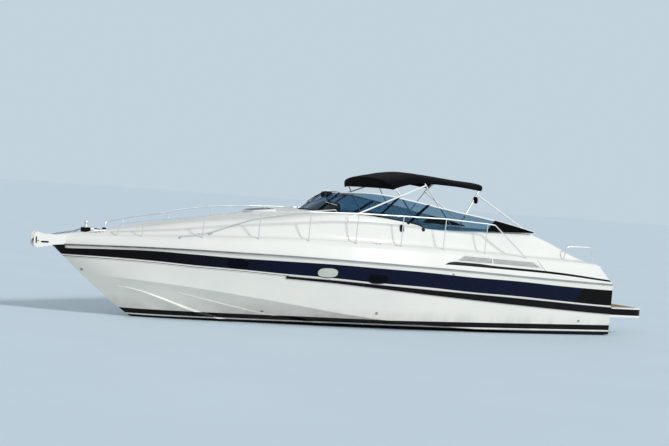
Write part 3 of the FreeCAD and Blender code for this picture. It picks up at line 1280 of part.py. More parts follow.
def steering_wheel():
    """Make the wheel about +Z with its hub's foot at the origin."""
    rim = Part.makeTorus(S.wheel_radius, S.wheel_rim_radius, Vector(0, 0, S.wheel_hub_length))
    hub = Part.makeCylinder(S.wheel_hub_radius, S.wheel_hub_length + S.wheel_rim_radius)
    spokes = [rod(Vector(0, 0, S.wheel_hub_length),
                  Vector(S.wheel_radius * math.cos(a), S.wheel_radius * math.sin(a), S.wheel_hub_length),
                  S.wheel_spoke_radius) for a in map(math.radians, SPOKE_ANGLES)]
    return rim.multiFuse([hub] + spokes)


wheel = node("steering_wheel", steering_wheel())
wheel.Placement = Placement(column_foot + face_normal * S.seat_gap, Rotation(Z_AXIS, face_normal))

seat_x = -S.seat_place - S.seat_depth
seat_y = wheel_y - S.seat_width / 2
pedestal_height = S.seat_height - S.cushion_thickness - S.seat_base_thickness
pedestal = Part.makeCylinder(S.pedestal_radius, pedestal_height,
                             Vector(seat_x + S.seat_depth / 2, wheel_y, S.sole_height))
pan = Part.makeBox(S.seat_depth, S.seat_width, S.seat_base_thickness,
                   Vector(seat_x, seat_y, S.sole_height + pedestal_height))
node("helm_seat_base", pedestal.fuse(pan))
seat_top = S.sole_height + S.seat_height - S.cushion_thickness + S.seat_gap
squab = Part.makeBox(S.seat_depth, S.seat_width, S.cushion_thickness, Vector(seat_x, seat_y, seat_top))
back = Part.makeBox(S.seat_back_thickness, S.seat_width, S.seat_back_height + S.cushion_thickness,
                    Vector(seat_x, seat_y, seat_top))
node("helm_seat_cushion", squab.fuse(back))

# Cockpit benches and their cushions

bench_x = S.cockpit_front - S.cockpit_length
bench_y = S.passage_width - S.sunpad_half_width + S.lid_gap
port_bench = Part.makeBox(-S.bench_front - bench_x, S.bench_depth, S.bench_height,
                          Vector(bench_x, S.cockpit_half_width - S.bench_depth, S.sole_height))
aft_bench = Part.makeBox(S.bench_depth, S.cockpit_half_width - bench_y, S.bench_height,
                         Vector(bench_x, bench_y, S.sole_height))
doc.recompute()
node("cockpit_benches", port_bench.fuse(aft_bench).removeSplitter().common(liner_space.Shape))
cushion_space = rounded("cushion_space", box(
    "cushion_space_box", "cockpit_length - 2 * cushion_inset", "2 * cockpit_half_width - 2 * cushion_inset",
    "freeboard * 2", "cockpit_front - cockpit_length + cushion_inset", "-cockpit_half_width + cushion_inset",
    "sole_height"), "well_corner", upright)
doc.recompute()
inset = S.cushion_inset
level = S.sole_height + S.bench_height + S.seat_gap
port_pad = Part.makeBox(-S.bench_front - bench_x - 2 * inset, S.bench_depth - 2 * inset, S.cushion_thickness,
                        Vector(bench_x + inset, S.cockpit_half_width - S.bench_depth + inset, level))
aft_pad = Part.makeBox(S.bench_depth - 2 * inset, S.cockpit_half_width - bench_y - 2 * inset,
                       S.cushion_thickness, Vector(bench_x + inset, bench_y + inset, level))
node("bench_cushions", port_pad.fuse(aft_pad).removeSplitter().common(cushion_space.Shape))

# Sunpad: the lid over the engine hatch, and its cushion

publish("sunpad_lid", box(
    "sunpad_lid_panel", "sunpad_aft + cockpit_front - cockpit_length - liner_wall - 2 * lid_gap",
    "2 * sunpad_half_width - passage_width - 2 * lid_gap", "lid_thickness", "-sunpad_aft + lid_gap",
    "passage_width - sunpad_half_width + lid_gap", "sunpad_level + seat_gap"))
publish("sunpad_cushion", box(
    "sunpad_cushion_block",
    "sunpad_aft + cockpit_front - cockpit_length - liner_wall - 2 * lid_gap - 2 * cushion_inset",
    "2 * sunpad_half_width - passage_width - 2 * lid_gap - 2 * cushion_inset", "sunpad_cushion_thickness",
    "-sunpad_aft + lid_gap + cushion_inset", "passage_width - sunpad_half_width + lid_gap + cushion_inset",
    "sunpad_level + lid_thickness + 2 * seat_gap"))

# Transom gate on its pin

pin_place = Vector(-S.gate_place - S.gate_thickness / 2,
                   -S.sunpad_half_width + S.gate_gap + S.gate_thickness / 2, S.sole_height)
gate_foot = S.gate_lug_height + S.gate_gap
leaf = Part.makeBox(S.gate_thickness, S.passage_width - 2 * S.gate_gap - S.gate_thickness / 2, S.gate_height,
                    pin_place + Vector(-S.gate_thickness / 2, 0, gate_foot))
stile = Part.makeCylinder(S.gate_thickness / 2, S.gate_height, pin_place + Z_AXIS * gate_foot)
gate_bore = Part.makeCylinder(S.gate_pin_radius + S.running_gap, S.gate_height + S.overrun, pin_place)
node("transom_gate", leaf.fuse(stile).cut(gate_bore).removeSplitter())
lug_length = S.gate_gap + S.gate_thickness / 2 + S.gate_lug / 2
gate_over_all = S.gate_height + 2 * S.gate_lug_height + 2 * S.gate_gap
lugs = [Part.makeBox(S.gate_lug, lug_length, S.gate_lug_height,
                     Vector(pin_place.x - S.gate_lug / 2, -S.sunpad_half_width, z))
        for z in (S.sole_height, S.sole_height + gate_over_all - S.gate_lug_height)]
node("gate_hinge", Part.makeCylinder(S.gate_pin_radius, gate_over_all, pin_place).multiFuse(lugs))

# Foredeck hatch

hatch_fore = height_on_deck(S.hatch_place + S.hatch_size / 2, 0)
hatch_aft = height_on_deck(S.hatch_place - S.hatch_size / 2, 0)
hatch_slope = math.degrees(math.atan2(hatch_aft - hatch_fore, S.hatch_size))
hatch_turn = Rotation(Y_AXIS, hatch_slope)
hatch_middle = Vector(S.hatch_place, 0, (hatch_fore + hatch_aft) / 2)


def rounded_square(side, height, corner, lift):
    """Make a square plate with rounded upright corners about the hatch's middle."""
    plate = Part.makeBox(side, side, height, Vector(-side / 2, -side / 2, lift))
    plate = plate.makeFillet(corner, [e for e in plate.Edges if upright(e)])
    plate.Placement = Placement(hatch_middle, hatch_turn).multiply(plate.Placement)
    return plate


frame = rounded_square(S.hatch_size, S.hatch_frame_height + S.foot_depth, S.hatch_corner, -S.foot_depth)
frame = frame.cut(rounded_square(S.hatch_size - 2 * S.hatch_frame_width, S.overrun, S.hatch_corner / 2,
                                 -S.overrun / 2))
node("foredeck_hatch_frame", largest(frame.cut(deck_solid)))
node("foredeck_hatch_lid", rounded_square(S.hatch_size, S.hatch_lid_thickness, S.hatch_corner,
                                          S.hatch_frame_height + S.seat_gap))

hatch_hinge = Placement(hatch_middle, hatch_turn).multVec(
    Vector(S.hatch_size / 2, 0, S.hatch_frame_height + S.seat_gap))
print(f"Foredeck hatch hinge line, along Y: x {hatch_hinge.x:.2f}, z {hatch_hinge.z:.2f}")
print(f"Windlass drum's foot: z {drum_foot:.2f}")

# Stern rail

STERN_RAIL_BEAM_SHARE = 0.79
STERN_RAIL_SHARES = (0.805, 0.935)
STERN_RAIL_TOP_SHARE = 1.378


def stern_rail():
    """Make the port stern rail: up from the coaming, aft, and down to the deck."""
    stern_y = S.half_beam * STERN_RAIL_BEAM_SHARE
    fore_x, aft_x = [-S.half_length * share for share in STERN_RAIL_SHARES]
    top = S.freeboard * STERN_RAIL_TOP_SHARE
    points = [Vector(fore_x, stern_y, height_on_deck(fore_x, stern_y) - S.foot_depth),
              Vector(fore_x - S.rail_bend, stern_y, top), Vector(aft_x, stern_y, top + S.rail_radius),
              Vector(aft_x, stern_y, height_on_deck(aft_x, stern_y) - S.foot_depth)]
    return largest(seated(tube(points, S.stern_rail_radius, S.rail_bend)))


node("stern_rails", both_sides(stern_rail()))

# Checks and export

doc.recompute()
for obj in doc.Objects:
    if "Invalid" in obj.State or "Error" in obj.State:
        raise RuntimeError(f"{obj.Label} did not recompute: {obj.State}")
for obj in NODES:
    if obj.Shape.isNull() or not obj.Shape.isValid():
        raise RuntimeError(f"{obj.Label} has no valid shape")

os.makedirs("parts", exist_ok=True)
for obj in NODES:
    obj.Shape.exportStep(os.path.join("parts", obj.Label + ".step"))
    print(f"{obj.Label}: {len(obj.Shape.Solids)} solids, {obj.Shape.Volume / 1e9:.4f} m3")
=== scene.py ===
"""Looks of an open sports cruiser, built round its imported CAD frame.

Every piece is made in the frame's own coordinates: metres, +X to the bow, +Y to port, +Z up, with the
origin on the centreline at the water.
"""

import logging
import math
from dataclasses import dataclass, field
from enum import Enum

import bmesh
import bpy
from mathutils import Matrix, Vector
from mathutils.bvhtree import BVHTree


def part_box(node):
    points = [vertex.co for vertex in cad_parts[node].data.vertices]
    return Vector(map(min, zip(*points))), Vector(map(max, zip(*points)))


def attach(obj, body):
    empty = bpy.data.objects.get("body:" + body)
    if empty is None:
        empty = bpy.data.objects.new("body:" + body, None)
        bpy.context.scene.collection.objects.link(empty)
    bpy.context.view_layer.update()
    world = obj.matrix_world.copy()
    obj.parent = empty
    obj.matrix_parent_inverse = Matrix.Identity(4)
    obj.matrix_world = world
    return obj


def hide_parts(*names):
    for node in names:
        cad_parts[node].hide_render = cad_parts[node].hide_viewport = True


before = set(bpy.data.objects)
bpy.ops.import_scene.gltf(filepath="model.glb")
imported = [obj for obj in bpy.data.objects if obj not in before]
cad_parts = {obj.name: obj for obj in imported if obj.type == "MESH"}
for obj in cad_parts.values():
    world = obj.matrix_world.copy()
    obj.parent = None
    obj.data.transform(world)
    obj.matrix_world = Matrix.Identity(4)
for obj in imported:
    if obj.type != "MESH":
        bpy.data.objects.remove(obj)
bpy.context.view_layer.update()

log = logging.getLogger("cruiser")

Socket = bpy.types.NodeSocket
Line = tuple[tuple[float, float], ...]
Spot = tuple[Vector, Vector]
UP = Vector((0, 0, 1))
PORT = Vector((0, 1, 0))
AHEAD = Vector((1, 0, 0))
LEAST_RADIUS = 0.0002


class Side(Enum):
    """The two sides of the boat."""

    PORT = 1
    STARBOARD = -1


def linear(code: str) -> tuple[float, float, float, float]:
    """Turn an sRGB hex colour to linear values.

    Args:
        code: six hex digits.

    Returns:
        The linear red, green and blue, and an alpha of one.
    """
    values = [int(code[i:i + 2], 16) / 255 for i in (0, 2, 4)]
    return (*[v / 12.92 if v <= 0.04045 else ((v + 0.055) / 1.055) ** 2.4 for v in values], 1.0)


def per_metre(millimetres: float) -> float:
    """Give a pattern's scale from the real size of one repeat."""
    return 1000 / millimetres


def add_node(tree: bpy.types.NodeTree, kind: str, inputs: dict | None = None,
             **settings: object) -> bpy.types.Node:
    """Add one node to a material with its settings, values and links.

    Args:
        tree: the material's node tree.
        kind: the node's type without its ShaderNode prefix.
        inputs: for a socket's name or number, a value or the socket that feeds it.
        settings: properties of the node itself.

    Returns:
        The new node.
    """
    made = tree.nodes.new("ShaderNode" + kind)
    for name, value in settings.items():
        setattr(made, name, value)
    for name, value in (inputs or {}).items():
        if isinstance(value, Socket):
            tree.links.new(value, made.inputs[name])
        else:
            made.inputs[name].default_value = value
    return made


# Finishes

class Bench:
    """A material's node tree while a finish fills it."""

    def __init__(self, name: str) -> None:
        """Start an empty material with one surface shader."""
        self.material = bpy.data.materials.new(name)
        self.material.use_nodes = True
        self.tree = self.material.node_tree
        self.shader = self.tree.nodes["Principled BSDF"]
        where = add_node(self.tree, "TexCoord")
        self.place = where.outputs["Object"]
        self.x, self.y, self.z = add_node(self.tree, "SeparateXYZ", {0: self.place}).outputs
        self.tilt = add_node(self.tree, "SeparateXYZ", {0: where.outputs["Normal"]}).outputs

    def add(self, kind: str, inputs: dict, out: int | str = 0, **settings: object) -> Socket:
        """Add a node to this material and give one of its outputs."""
        return add_node(self.tree, kind, inputs, **settings).outputs[out]

    def feed(self, socket: str, value: object) -> None:
        """Set or link one of the shader's sockets."""
        if isinstance(value, Socket):
            self.tree.links.new(value, self.shader.inputs[socket])
        else:
            self.shader.inputs[socket].default_value = value

    def above(self, value: object, edge: object, soft: float = 0.0012) -> Socket:
        """Mask where a value passes an edge.

        Args:
            value: the number or socket that is tested.
            edge: a number or a socket.
            soft: half the width of the mask's edge, in metres.

        Returns:
            A socket that runs from 0 below the edge to 1 above it.
        """
        past = self.add("Math", {0: value, 1: edge}, operation="SUBTRACT")
        return self.add("MapRange", {"Value": past, "From Min": -soft, "From Max": soft})

    def both(self, *masks: Socket) -> Socket:
        """Multiply masks."""
        found = masks[0]
        for mask in masks[1:]:
            found = self.add("Math", {0: found, 1: mask}, operation="MULTIPLY")
        return found

    def within(self, low_x: float, high_x: float, low_y: float, high_y: float) -> Socket:
        """Mask a rectangle of the plan view."""
        return self.both(self.above(self.x, low_x), self.above(high_x, self.x),
                         self.above(self.y, low_y), self.above(high_y, self.y))

    def outward(self) -> Socket:
        """Give how far a face looks away from the centreline, below zero on the walls inside the boat."""
        return self.add("Math", {0: self.y, 1: self.tilt[1]}, operation="MULTIPLY")

    def over(self, mask: object, under: object, paint: object) -> Socket:
        """Lay one colour over another through a mask."""
        return self.add("Mix", {0: mask, 6: under, 7: paint}, 2, data_type="RGBA")

    def tint(self, mask: Socket, tone: str, other: str) -> None:
        """Colour the surface in one tone, with another through a mask."""
        self.feed("Base Color", self.over(mask, linear(tone), linear(other)))

    def mottle(self, millimetres: float, detail: float = 2.0, place: Socket | None = None) -> Socket:
        """Give soft noise of one real size."""
        return self.add("TexNoise", {"Vector": place or self.place, "Scale": per_metre(millimetres),
                                     "Detail": detail}, "Fac")

    def stretched(self, scale: tuple[float, float, float]) -> Socket:
        """Give the place with its axes scaled, for a grain that runs one way."""
        return self.add("Mapping", {"Vector": self.place, "Scale": scale})

    def ranged(self, value: Socket, low: float, high: float) -> Socket:
        """Map a mottle's middle range to low and high."""
        return self.add("MapRange", {"Value": value, "From Min": 0.3, "From Max": 0.7,
                                     "To Min": low, "To Max": high})

    def along(self, value: Socket, start: float, end: float) -> Socket:
        """Give 0 where a value is at its start and 1 at its end."""
        return self.add("MapRange", {"Value": value, "From Min": start, "From Max": end})

    def worn(self, millimetres: float, detail: float, least: float, spread: float = 0.12) -> None:
        """Let the roughness wander up from its least value in patches of one real size."""
        self.feed("Roughness", self.ranged(self.mottle(millimetres, detail), least, least + spread))

    def relief(self, height: Socket, millimetres: float) -> None:
        """Raise the surface by a height pattern of one real depth."""
        earlier = self.shader.inputs["Normal"].links
        inputs = {"Height": height, "Distance": millimetres / 1000, "Strength": 1.0}
        if earlier:
            inputs["Normal"] = earlier[0].from_socket
        self.feed("Normal", self.add("Bump", inputs))

    def height_line(self, points: Line) -> Socket:
        """Give the height of a painted line at each station.

        Args:
            points: stations and heights in metres.

        Returns:
            A socket with the height in metres.
        """
        low_x, span_x, low_z, span_z = -7.2, 14.4, -1.0, 4.0
        curve = add_node(self.tree, "FloatCurve", {"Value": self.along(self.x, low_x, low_x + span_x)})
        line = curve.mapping.curves[0]
        line.points[0].location = (0, (points[0][1] - low_z) / span_z)
        line.points[1].location = (1, (points[-1][1] - low_z) / span_z)
        for x, z in points:
            line.points.new((x - low_x) / span_x, (z - low_z) / span_z)
        curve.mapping.update()
        return self.add("MapRange", {"Value": curve.outputs[0], "To Min": low_z, "To Max": low_z + span_z})


MATERIALS: dict[str, bpy.types.Material] = {}


@dataclass(frozen=True)
class Finish:
    """A real material and how its surface was made."""

    name: str
    tone: str
    roughness: float = 0.4
    metallic: float = 0.0
    slot: str = ""

    def material(self) -> bpy.types.Material:
        """Give this finish's material, made once."""
        if self.name not in MATERIALS:
            bench = Bench(self.name)
            bench.feed("Base Color", linear(self.tone))
            bench.feed("Roughness", self.roughness)
            bench.feed("Metallic", self.metallic)
            self.fill(bench)
            MATERIALS[self.name] = bench.material
        return MATERIALS[self.name]

    def fill(self, bench: Bench) -> None:
        """Add what the real surface shows beyond its tone."""


@dataclass(frozen=True)
class Gelcoat(Finish):
    """Polyester gelcoat out of a polished mould: deep white gloss, gone chalky in patches by sun and salt."""

    def fill(self, bench: Bench) -> None:
        """Chalk, faint waves of the laminate and a moulded gloss."""
        self.polish(bench, self.chalked(bench))

    def chalked(self, bench: Bench) -> Socket:
        """Give the white with its slow variation over a metre or so."""
        chalk = bench.ranged(bench.mottle(900, 3), 0.0, 1.0)
        white = linear(self.tone)
        return bench.over(chalk, white, (white[0] * 0.93, white[1] * 0.945, white[2] * 0.95, 1))

    def polish(self, bench: Bench, colour: Socket) -> None:
        """Set the gloss and the moulding's long waves."""
        bench.feed("Base Color", colour)
        bench.worn(500, 3, self.roughness)
        bench.feed("Specular IOR Level", 0.12)
        # Laminate print-through has a repeat of about 300 mm and less than a millimetre of depth.
        bench.relief(bench.mottle(320, 1), 1.2)
        # Salt specks are under 2 mm, drawn at 9 mm so that they show.
        bench.relief(bench.mottle(9, 2), 0.05)

    def dulled(self, bench: Bench, mask: Socket, gloss: object, matt: float) -> None:
        """Give the masked part of the surface a matt roughness of its own."""
        bench.feed("Roughness", bench.add("Mix", {0: mask, 2: gloss, 3: matt}, data_type="FLOAT"))


@dataclass(frozen=True)
class Stripe:
    """A painted band between two lines of the side view."""

    tone: str
    top: Line
    bottom: Line
    aft: float = -9.0
    fore: float = 9.0
    lean: float = 0.0
    fore_tone: str = ""
    fade: tuple[float, float] = (2.0, 4.2)

    def lay(self, bench: Bench, under: Socket) -> Socket:
        """Paint the band over a colour.

        Args:
            bench: the material that is filled.
            under: the colour below the band.

        Returns:
            The colour with the band on it.
        """
        leant = bench.add("Math", {0: bench.z, 1: self.lean, 2: bench.x}, operation="MULTIPLY_ADD")
        mask = bench.both(bench.above(bench.z, bench.height_line(self.bottom)),
                          bench.above(bench.height_line(self.top), bench.z),
                          bench.above(leant, self.aft), bench.above(self.fore, leant))
        paint = linear(self.tone)
        if self.fore_tone:
            paint = bench.over(bench.along(bench.x, *self.fade), paint, linear(self.fore_tone))
        return bench.over(mask, under, paint)


BAND_TOP: Line = (
    (-6.2, 1.020), (-4.78, 1.071), (-3.55, 1.140), (-2.37, 1.183), (-1.24, 1.245), (-0.17, 1.283),
    (0.84, 1.316), (1.79, 1.326), (2.69, 1.331), (3.55, 1.351), (4.37, 1.367), (5.17, 1.341), (5.96, 1.300))
BAND_BOTTOM: Line = (
    (-6.2, 0.675), (-4.82, 0.741), (-3.58, 0.816), (-2.40, 0.867), (-1.27, 0.936), (-0.19, 0.980),
    (0.82, 1.038), (1.77, 1.070), (2.67, 1.110), (3.53, 1.137), (4.36, 1.174), (5.16, 1.188), (5.95, 1.180))


def lowered(line: Line, drop: float) -> Line:
    """Give a line moved down."""
    return tuple((x, z - drop) for x, z in line)


@dataclass(frozen=True)
class BowGelcoat(Gelcoat):
    """Gelcoat of the bow platform, with the point of the hull's dark band carried over its cheeks."""

    stripe: Stripe = Stripe("010204", ((5.8, 1.382), (6.13, 1.354)),
                            ((5.8, 1.2), (5.98, 1.24), (6.13, 1.340)), fore=6.12)

    def fill(self, bench: Bench) -> None:
        """The band's point on the white."""
        self.polish(bench, self.stripe.lay(bench, self.chalked(bench)))


@dataclass(frozen=True)
class HullGelcoat(Gelcoat):
    """Topsides gelcoat with sprayed navy and black bands, and rolled antifouling below the boot-top."""

    stripes: tuple[Stripe, ...] = (
        Stripe("000c29", BAND_TOP, BAND_BOTTOM, fore_tone="010204", fade=(1.6, 4.4)),
        # The aft end of the band is black, ahead of the transom, with a leaning fore edge.
        Stripe("010101", BAND_TOP, BAND_BOTTOM, fore=-4.75, lean=0.513),
        # Hairlines under the band carry the strake's line to the stem.
        Stripe("15181c", lowered(BAND_BOTTOM, 0.026), lowered(BAND_BOTTOM, 0.038), aft=1.72),
        Stripe("777f80", lowered(BAND_BOTTOM, 0.055), lowered(BAND_BOTTOM, 0.060), aft=1.72),
        # The boot-top, and the antifouling below it.
        Stripe("0a0c10", ((-6.2, 0.232), (-2.0, 0.215), (0.5, 0.195), (3.0, 0.178), (6, 0.172)),
               ((-6.2, 0.118), (-2.0, 0.110), (0.5, 0.095), (3.0, 0.078), (6, 0.070))),
        Stripe("10161f", ((-6.2, 0.084), (0, 0.068), (6, 0.040)), ((-6.2, -1.0), (6, -1.0))),
    )
    antifouled_below: float = 0.06
    lined_above: float = 0.5

    def fill(self, bench: Bench) -> None:
        """Bands, hairlines, boot-top and antifouling, with the stain of the water over them."""
        # A brown scum line stays above the boot-top.
        low = bench.along(bench.z, 0.46, 0.20)
        stain = bench.both(low, bench.ranged(bench.mottle(260, 4, bench.stretched((1, 1, 0.25))), 0.0, 0.34))
        bare = colour = bench.over(stain, self.chalked(bench), linear("8f9187"))
        for stripe in self.stripes:
            colour = stripe.lay(bench, colour)
        # The shell's floor and walls inside the boat keep their white: the bands are outside only.
        level, inner = bench.above(bench.tilt[2], 0.7, 0.05), bench.above(-0.10, bench.outward(), 0.05)
        inside = bench.add("Math", {0: level, 1: inner}, operation="MAXIMUM")
        colour = bench.over(bench.both(inside, bench.above(bench.z, self.lined_above)), colour, bare)
        self.polish(bench, colour)
        gloss = bench.ranged(bench.mottle(500, 3), self.roughness, self.roughness + 0.12)
        self.dulled(bench, bench.above(self.antifouled_below, bench.z), gloss, 0.8)


@dataclass(frozen=True)
class DeckGelcoat(Gelcoat):
    """Deck gelcoat: glossy where it is upright, with a moulded diamond tread underfoot."""

    stripe: Stripe = Stripe(
        "040405",
        ((-6.2, 1.236), (-6.0, 1.250), (-4.62, 1.366), (-3.0, 1.441), (-1.86, 1.488), (-1.74, 1.462),
         (-1.66, 1.426)),
        ((-6.2, 1.196), (-6.0, 1.210), (-4.62, 1.316), (-3.0, 1.386), (-1.86, 1.424), (-1.66, 1.425)),
        fore=-1.66)
    tread_millimetres: float = 22.0

    def fill(self, bench: Bench) -> None:
        """Tread on level parts, the black side stripe, and grime in the tread."""
        level = bench.above(bench.tilt[2], 0.955, 0.008)
        # The real tread's diamonds are about 8 mm; they are drawn at 22 mm so that they show.
        turned = bench.add("Mapping", {"Vector": bench.place, "Rotation": (0, 0, math.pi / 4)})
        cells = bench.add("TexChecker", {"Vector": turned, "Scale": per_metre(self.tread_millimetres)}, "Fac")
        grime = bench.both(level, bench.ranged(bench.mottle(420, 4), 0.12, 0.3))
        colour = bench.over(grime, self.chalked(bench), linear("b9bab2"))
        side = bench.above(bench.outward(), 0.40, 0.08)
        self.polish(bench, bench.over(side, colour, self.stripe.lay(bench, colour)))
        bench.relief(bench.both(level, cells), 0.5)
        self.dulled(bench, level, self.roughness, 0.55)


@dataclass(frozen=True)
class TeakDeck(Gelcoat):
    """Gelcoat with teak planks laid on its top: straw-grey wood, black caulking, and bands on its edge."""

    stripe: Stripe | None = None
    plank_millimetres: float = 52.0
    caulk_millimetres: float = 5.0
    top: float = 0.0
    outline: tuple[float, float, float, float] = (0, 0, 0, 0)

    def fill(self, bench: Bench) -> None:
        """Planks fore and aft on the top, inside a white margin."""
        colour = self.chalked(bench)
        if self.stripe:
            colour = self.stripe.lay(bench, colour)
        pitch = self.plank_millimetres / 1000
        across = bench.add("Math", {0: bench.y, 1: pitch, 2: 0.0}, operation="WRAP")
        seam = bench.above(self.caulk_millimetres / 1000, across, 0.0006)
        grain = bench.ranged(bench.mottle(6, 6, bench.stretched((0.07, 1, 1))), 0.0, 1.0)
        plank = bench.add("Math", {0: bench.y, 1: pitch}, operation="SNAP")
        own = bench.add("TexWhiteNoise", {"W": plank}, "Value", noise_dimensions="1D")
        wood = bench.over(grain, linear("8a6a48"), linear("a98a63"))
        wood = bench.over(own, wood, linear("97866c"))
        wood = bench.over(seam, wood, linear("0c0c0c"))
        inside = bench.both(bench.above(bench.tilt[2], 0.97, 0.01), bench.above(bench.z, self.top - 0.01),
                            bench.within(*self.outline))
        self.polish(bench, bench.over(inside, colour, wood))
        bench.relief(bench.both(inside, grain), 0.4)
        self.dulled(bench, inside, self.roughness, 0.68)


@dataclass(frozen=True)
class PolishedSteel(Finish):
    """Stainless steel, drawn or cast and buffed: bright, with fine buffing lines and dull spots of salt."""

    def fill(self, bench: Bench) -> None:
        """Buffing lines along the tube and patches that have lost their shine."""
        bench.worn(110, 3, self.roughness)
        bench.tint(bench.ranged(bench.mottle(45, 4), 0.0, 0.15), self.tone, "a89c8a")
        # Buffing lines are a tenth of a millimetre wide; they are drawn at 4 mm so that they show.
        bench.relief(bench.mottle(4, 2, bench.stretched((0.1, 1, 1))), 0.006)


@dataclass(frozen=True)
class Enamel(Finish):
    """Sprayed two-part enamel: even, with a slight orange peel and edges rubbed duller."""

    dust: float = 0.012
    gloss: float = 0.12

    def fill(self, bench: Bench) -> None:
        """Orange peel and dust."""
        bench.tint(bench.ranged(bench.mottle(180, 4), 0.0, self.dust), self.tone, "9a9c9a")
        bench.worn(120, 3, self.roughness)
        bench.feed("Specular IOR Level", self.gloss)
        # Orange peel repeats every 2 mm; it is drawn at 8 mm so that it shows.
        bench.relief(bench.mottle(8, 1), 0.06)


@dataclass(frozen=True)
class TintedGlass(Finish):
    """Toughened glass with a smoke-blue tint: dark against the sky, with dried salt on it."""

    def fill(self, bench: Bench) -> None:
        """Tint, salt film and the drawing waves of the pane."""
        bench.feed("Transmission Weight", 1.0)
        # A coated screen mirrors less than bare glass, whose index is 1.5.
        bench.feed("IOR", 1.2)
        bench.worn(220, 5, 0.01, 0.06)
        bench.relief(bench.mottle(600, 1), 0.5)


@dataclass(frozen=True)
class SmokedAcrylic(Finish):
    """Cast acrylic, smoked near black, with fine scratches from cleaning."""

    haze: float = 0.1
    gloss: float = 0.2

    def fill(self, bench: Bench) -> None:
        """Scratches and a milky haze."""
        bench.tint(bench.ranged(bench.mottle(160, 5), 0.0, self.haze), self.tone, "4c565c")
        bench.feed("Specular IOR Level", self.gloss)
        scratches = bench.mottle(3, 5, bench.stretched((0.06, 1, 1)))
        bench.feed("Roughness", bench.ranged(scratches, self.roughness, self.roughness + 0.2))


@dataclass(frozen=True)
class FramedAcrylic(SmokedAcrylic):
    """A hatch lid: smoked acrylic bedded in a rim of white-coated aluminium."""

    low: tuple[float, float] = (0, 0)
    high: tuple[float, float] = (0, 0)
    rim: float = 0.030

    def fill(self, bench: Bench) -> None:
        """The pane on top, the coated rim round it and below."""
        super().fill(bench)
        smoked = bench.shader.inputs["Base Color"].links[0].from_socket
        pane = bench.both(bench.above(bench.tilt[2], 0.9, 0.02),
                          bench.within(self.low[0] + self.rim, self.high[0] - self.rim,
                                       self.low[1] + self.rim, self.high[1] - self.rim))
        bench.feed("Base Color", bench.over(pane, linear("e8e8e4"), smoked))


@dataclass(frozen=True)
class MouldedPlastic(Finish):
    """Injection-moulded ABS or PVC: a fine spark-eroded grain, with sun-faded high spots."""

    grain: float = 5.0
    other_tone: str = "5a5c5e"

    def fill(self, bench: Bench) -> None:
        """Grain and fading."""
        bench.tint(bench.ranged(bench.mottle(210, 4), 0.0, 0.2), self.tone, self.other_tone)
        bench.worn(60, 3, self.roughness - 0.06, 0.16)
        bench.feed("Specular IOR Level", 0.2)
        # Eroded grain repeats under 1 mm; it is drawn at 5 mm so that it shows.
        bench.relief(bench.mottle(self.grain, 3), 0.12)


@dataclass(frozen=True)
class JointRubber(MouldedPlastic):
    """Extruded PVC fender: black at the bow, grey towards the stern."""

    def fill(self, bench: Bench) -> None:
        """Black to grey along the boat, and scuffs."""
        bow_to_stern_grey = bench.over(bench.along(bench.x, 4.8, 0.5), linear(self.tone), linear(self.other_tone))
        scuffs = bench.ranged(bench.mottle(120, 5, bench.stretched((0.3, 1, 1))), 0.0, 0.35)
        bench.feed("Base Color", bench.over(scuffs, bow_to_stern_grey, linear("b9bcb8")))
        bench.relief(bench.mottle(14, 3, bench.stretched((0.15, 1, 1))), 0.3)


@dataclass(frozen=True)
class WovenCanvas(Finish):
    """Solution-dyed acrylic canvas: near black, with a plain weave and a soft sheen."""

    thread_millimetres: float = 5.0

    def fill(self, bench: Bench) -> None:
        """Weave, sheen and dust."""
        # The real thread is 0.6 mm; the weave is drawn at 5 mm so that it shows.
        turns = 2 * math.pi * per_metre(self.thread_millimetres)
        threads = []
        for axis in (bench.x, bench.y):
            phase = bench.add("Math", {0: axis, 1: turns}, operation="MULTIPLY")
            threads.append(bench.add("Math", {0: phase}, operation="SINE"))
        bench.tint(bench.ranged(bench.mottle(260, 4), 0.0, 0.2), self.tone, "14161a")
        bench.feed("Roughness", 0.85)
        bench.feed("Specular IOR Level", 0.08)
        bench.feed("Sheen Weight", 0.02)
        bench.feed("Sheen Roughness", 0.5)
        bench.relief(bench.both(*threads), 0.35)
        bench.relief(bench.mottle(240, 2), 2.5)


@dataclass(frozen=True)
class MarineVinyl(Finish):
    """Knife-coated vinyl on a knitted back: ivory, with an embossed leather grain and a wiped satin look."""

    def fill(self, bench: Bench) -> None:
        """Leather grain, seat grime and creases."""
        bench.tint(bench.ranged(bench.mottle(230, 5), 0.0, 0.35), self.tone, "c6bda6")
        bench.worn(120, 3, self.roughness, 0.15)
        # The embossing repeats every 2 mm; it is drawn at 7 mm so that it shows.
        grain = bench.add("TexVoronoi", {"Vector": bench.place, "Scale": per_metre(7)}, "Distance",
                          feature="DISTANCE_TO_EDGE")
        bench.relief(grain, 0.5)
        bench.relief(bench.mottle(90, 3), 1.5)


@dataclass(frozen=True)
class CastBronze(Finish):
    """Sand-cast bronze, filed and under water for a season: dull gold with brown and green blooms."""

    def fill(self, bench: Bench) -> None:
        """Blooms, file marks and the sand's grain."""
        brown = bench.ranged(bench.mottle(60, 5), 0.0, 0.8)
        green = bench.ranged(bench.mottle(130, 4), 0.0, 0.35)
        colour = bench.over(brown, linear(self.tone), linear("6b4a26"))
        bench.feed("Base Color", bench.over(green, colour, linear("5d7a66")))
        bench.worn(40, 4, 0.35, 0.30)
        bench.relief(bench.mottle(4, 3), 0.25)


